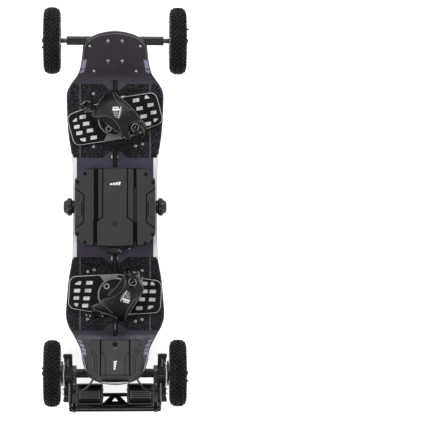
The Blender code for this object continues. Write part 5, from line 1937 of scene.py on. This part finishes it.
def bindings():
    """Make the foot pads, their trim with a painted edge highlight, the turning discs and the vamps."""
    for end in ("front", "rear"):
        at = binding_frame(end)
        flip = END_SIDE[end]
        from_node(f"{end}_binding_base", f"{end}_base_plate", "board", 0.0008, None)
        outline = rounded(inset(BASE_OUTLINE, 0.006), 0.018, 6)
        body = Shape().plate(outline, PAD_LOW, PAD_TOP, FOAM, at, 0.0018)
        pad = body.done(f"{end}_pad_foam", "board", (f"{end}_foot_pad",), "foot_pad")
        cuts = Shape()
        cuts.lathe(mm((-10, 52.8), (30, 52.8)), 64, FOAM, at)
        lean, windows = WINDOWS[end]
        for x, y, size in windows:
            x, y = x / 1000, y / 1000
            wide = 0.0195 * size / 2
            tall = 0.0112 * (0.75 + 0.25 * size) / 2
            corners = [Vector(p) for p in ((-wide - 0.001, -tall), (wide - 0.001, -tall),
                                           (wide + 0.001, tall), (-wide + 0.001, tall))]
            if abs(x) > 0.1 and abs(y) > 0.025:
                k = (2 if x > 0 else 3) if y > 0 else (1 if x > 0 else 0)
                tip = corners[k]
                corners[k:k + 1] = [tip.lerp(corners[k - 1], 0.6), tip.lerp(corners[(k + 1) % 4], 0.6)]
            spot = at @ move((x, y, 0)) @ Matrix.Rotation(radians(lean), 4, "Z")
            cuts.plate(rounded(corners, 0.0014, 2), PAD_TOP - 0.0012, PAD_TOP + 0.01, WINDOW, spot,
                       0.0001)
        carve(pad, cuts, 0.0)
        trim = Shape()
        # The thin pale ribbon round the base plate's edge is a painted edge highlight.
        edge = rounded(inset(BASE_OUTLINE, 0.0028), 0.02, 8)
        line = [at @ Vector((x, y, 0.004)) for x, y in edge]
        trim.ribbon(line, [Vector((0, 0, 1))] * len(line), 0.0017, 0.0011, PALE_PRINT_AND_EDGE_HIGHLIGHT, closed=True)
        plate = mm((-36, 38.5), (-30, 43), (-20, 48.7), (-8, 52), (4, 52.6), (6, 60.8), (-10, 61.5),
                   (-50, 56))
        plate = [(x, -flip * y) for x, y in plate]
        trim.plate(plate, PAD_TOP - 0.001, PAD_TOP + 0.001, TOE_GREY if flip > 0 else RING, at, 0.0004)
        if end == "front":
            wedge = mm((32.5, 60.7), (39.5, 53.6), (46, 59.2))
            trim.plate(wedge, PAD_TOP - 0.001, PAD_TOP + 0.001, PALE_PRINT_AND_EDGE_HIGHLIGHT, at, 0.0003)
        trim.done(f"{end}_binding_trim", "board", slot="black_plastic")
        disc = Shape()
        disc.lathe(mm((4.3, 50.5), (11, 51.5), (14.2, 51.5), (15, 50.5), (15, 47.8), (14.2, 46.2),
                      (12, 45.8), (4.3, 45.8)),
                   96, RING, at, closed=True)
        disc.lathe(mm((4.3, 0), (4.3, 45.6), (8.8, 45.6), (9.8, 44.6), (9.8, 20), (11.2, 18.5),
                      (11.8, 12), (11.8, 0)), 72, BLACK, at)
        for k in range(72):
            a = TAU * k / 72
            spot = at @ Matrix.Rotation(a, 4, "Z") @ move((0.049, 0, 0.0149))
            disc.block((0.0024, 0.001, 0.0008), (0, 0, 0), BLACK_OXIDE, spot, 0.0002)
        for x, y in mm((-26.5, -24), (26.5, 24), (-26.5, 24), (26.5, -24)):
            spot = at @ move((x, y * flip, 0.0098))
            disc.lathe(mm((-0.5, 8.8), (1.2, 8.8), (1.9, 7.8), (1.2, 5.8), (-0.5, 5.6)), 36, PALE, spot,
                       closed=True)
            disc.screw(spot, 0.005, 0.001, BLACK_OXIDE)
        disc.done(f"{end}_disc_plate", "board", (f"{end}_binding_disc",), "disc")
        dress_vamp(end, make_vamp(end))


bindings()
ratchets()
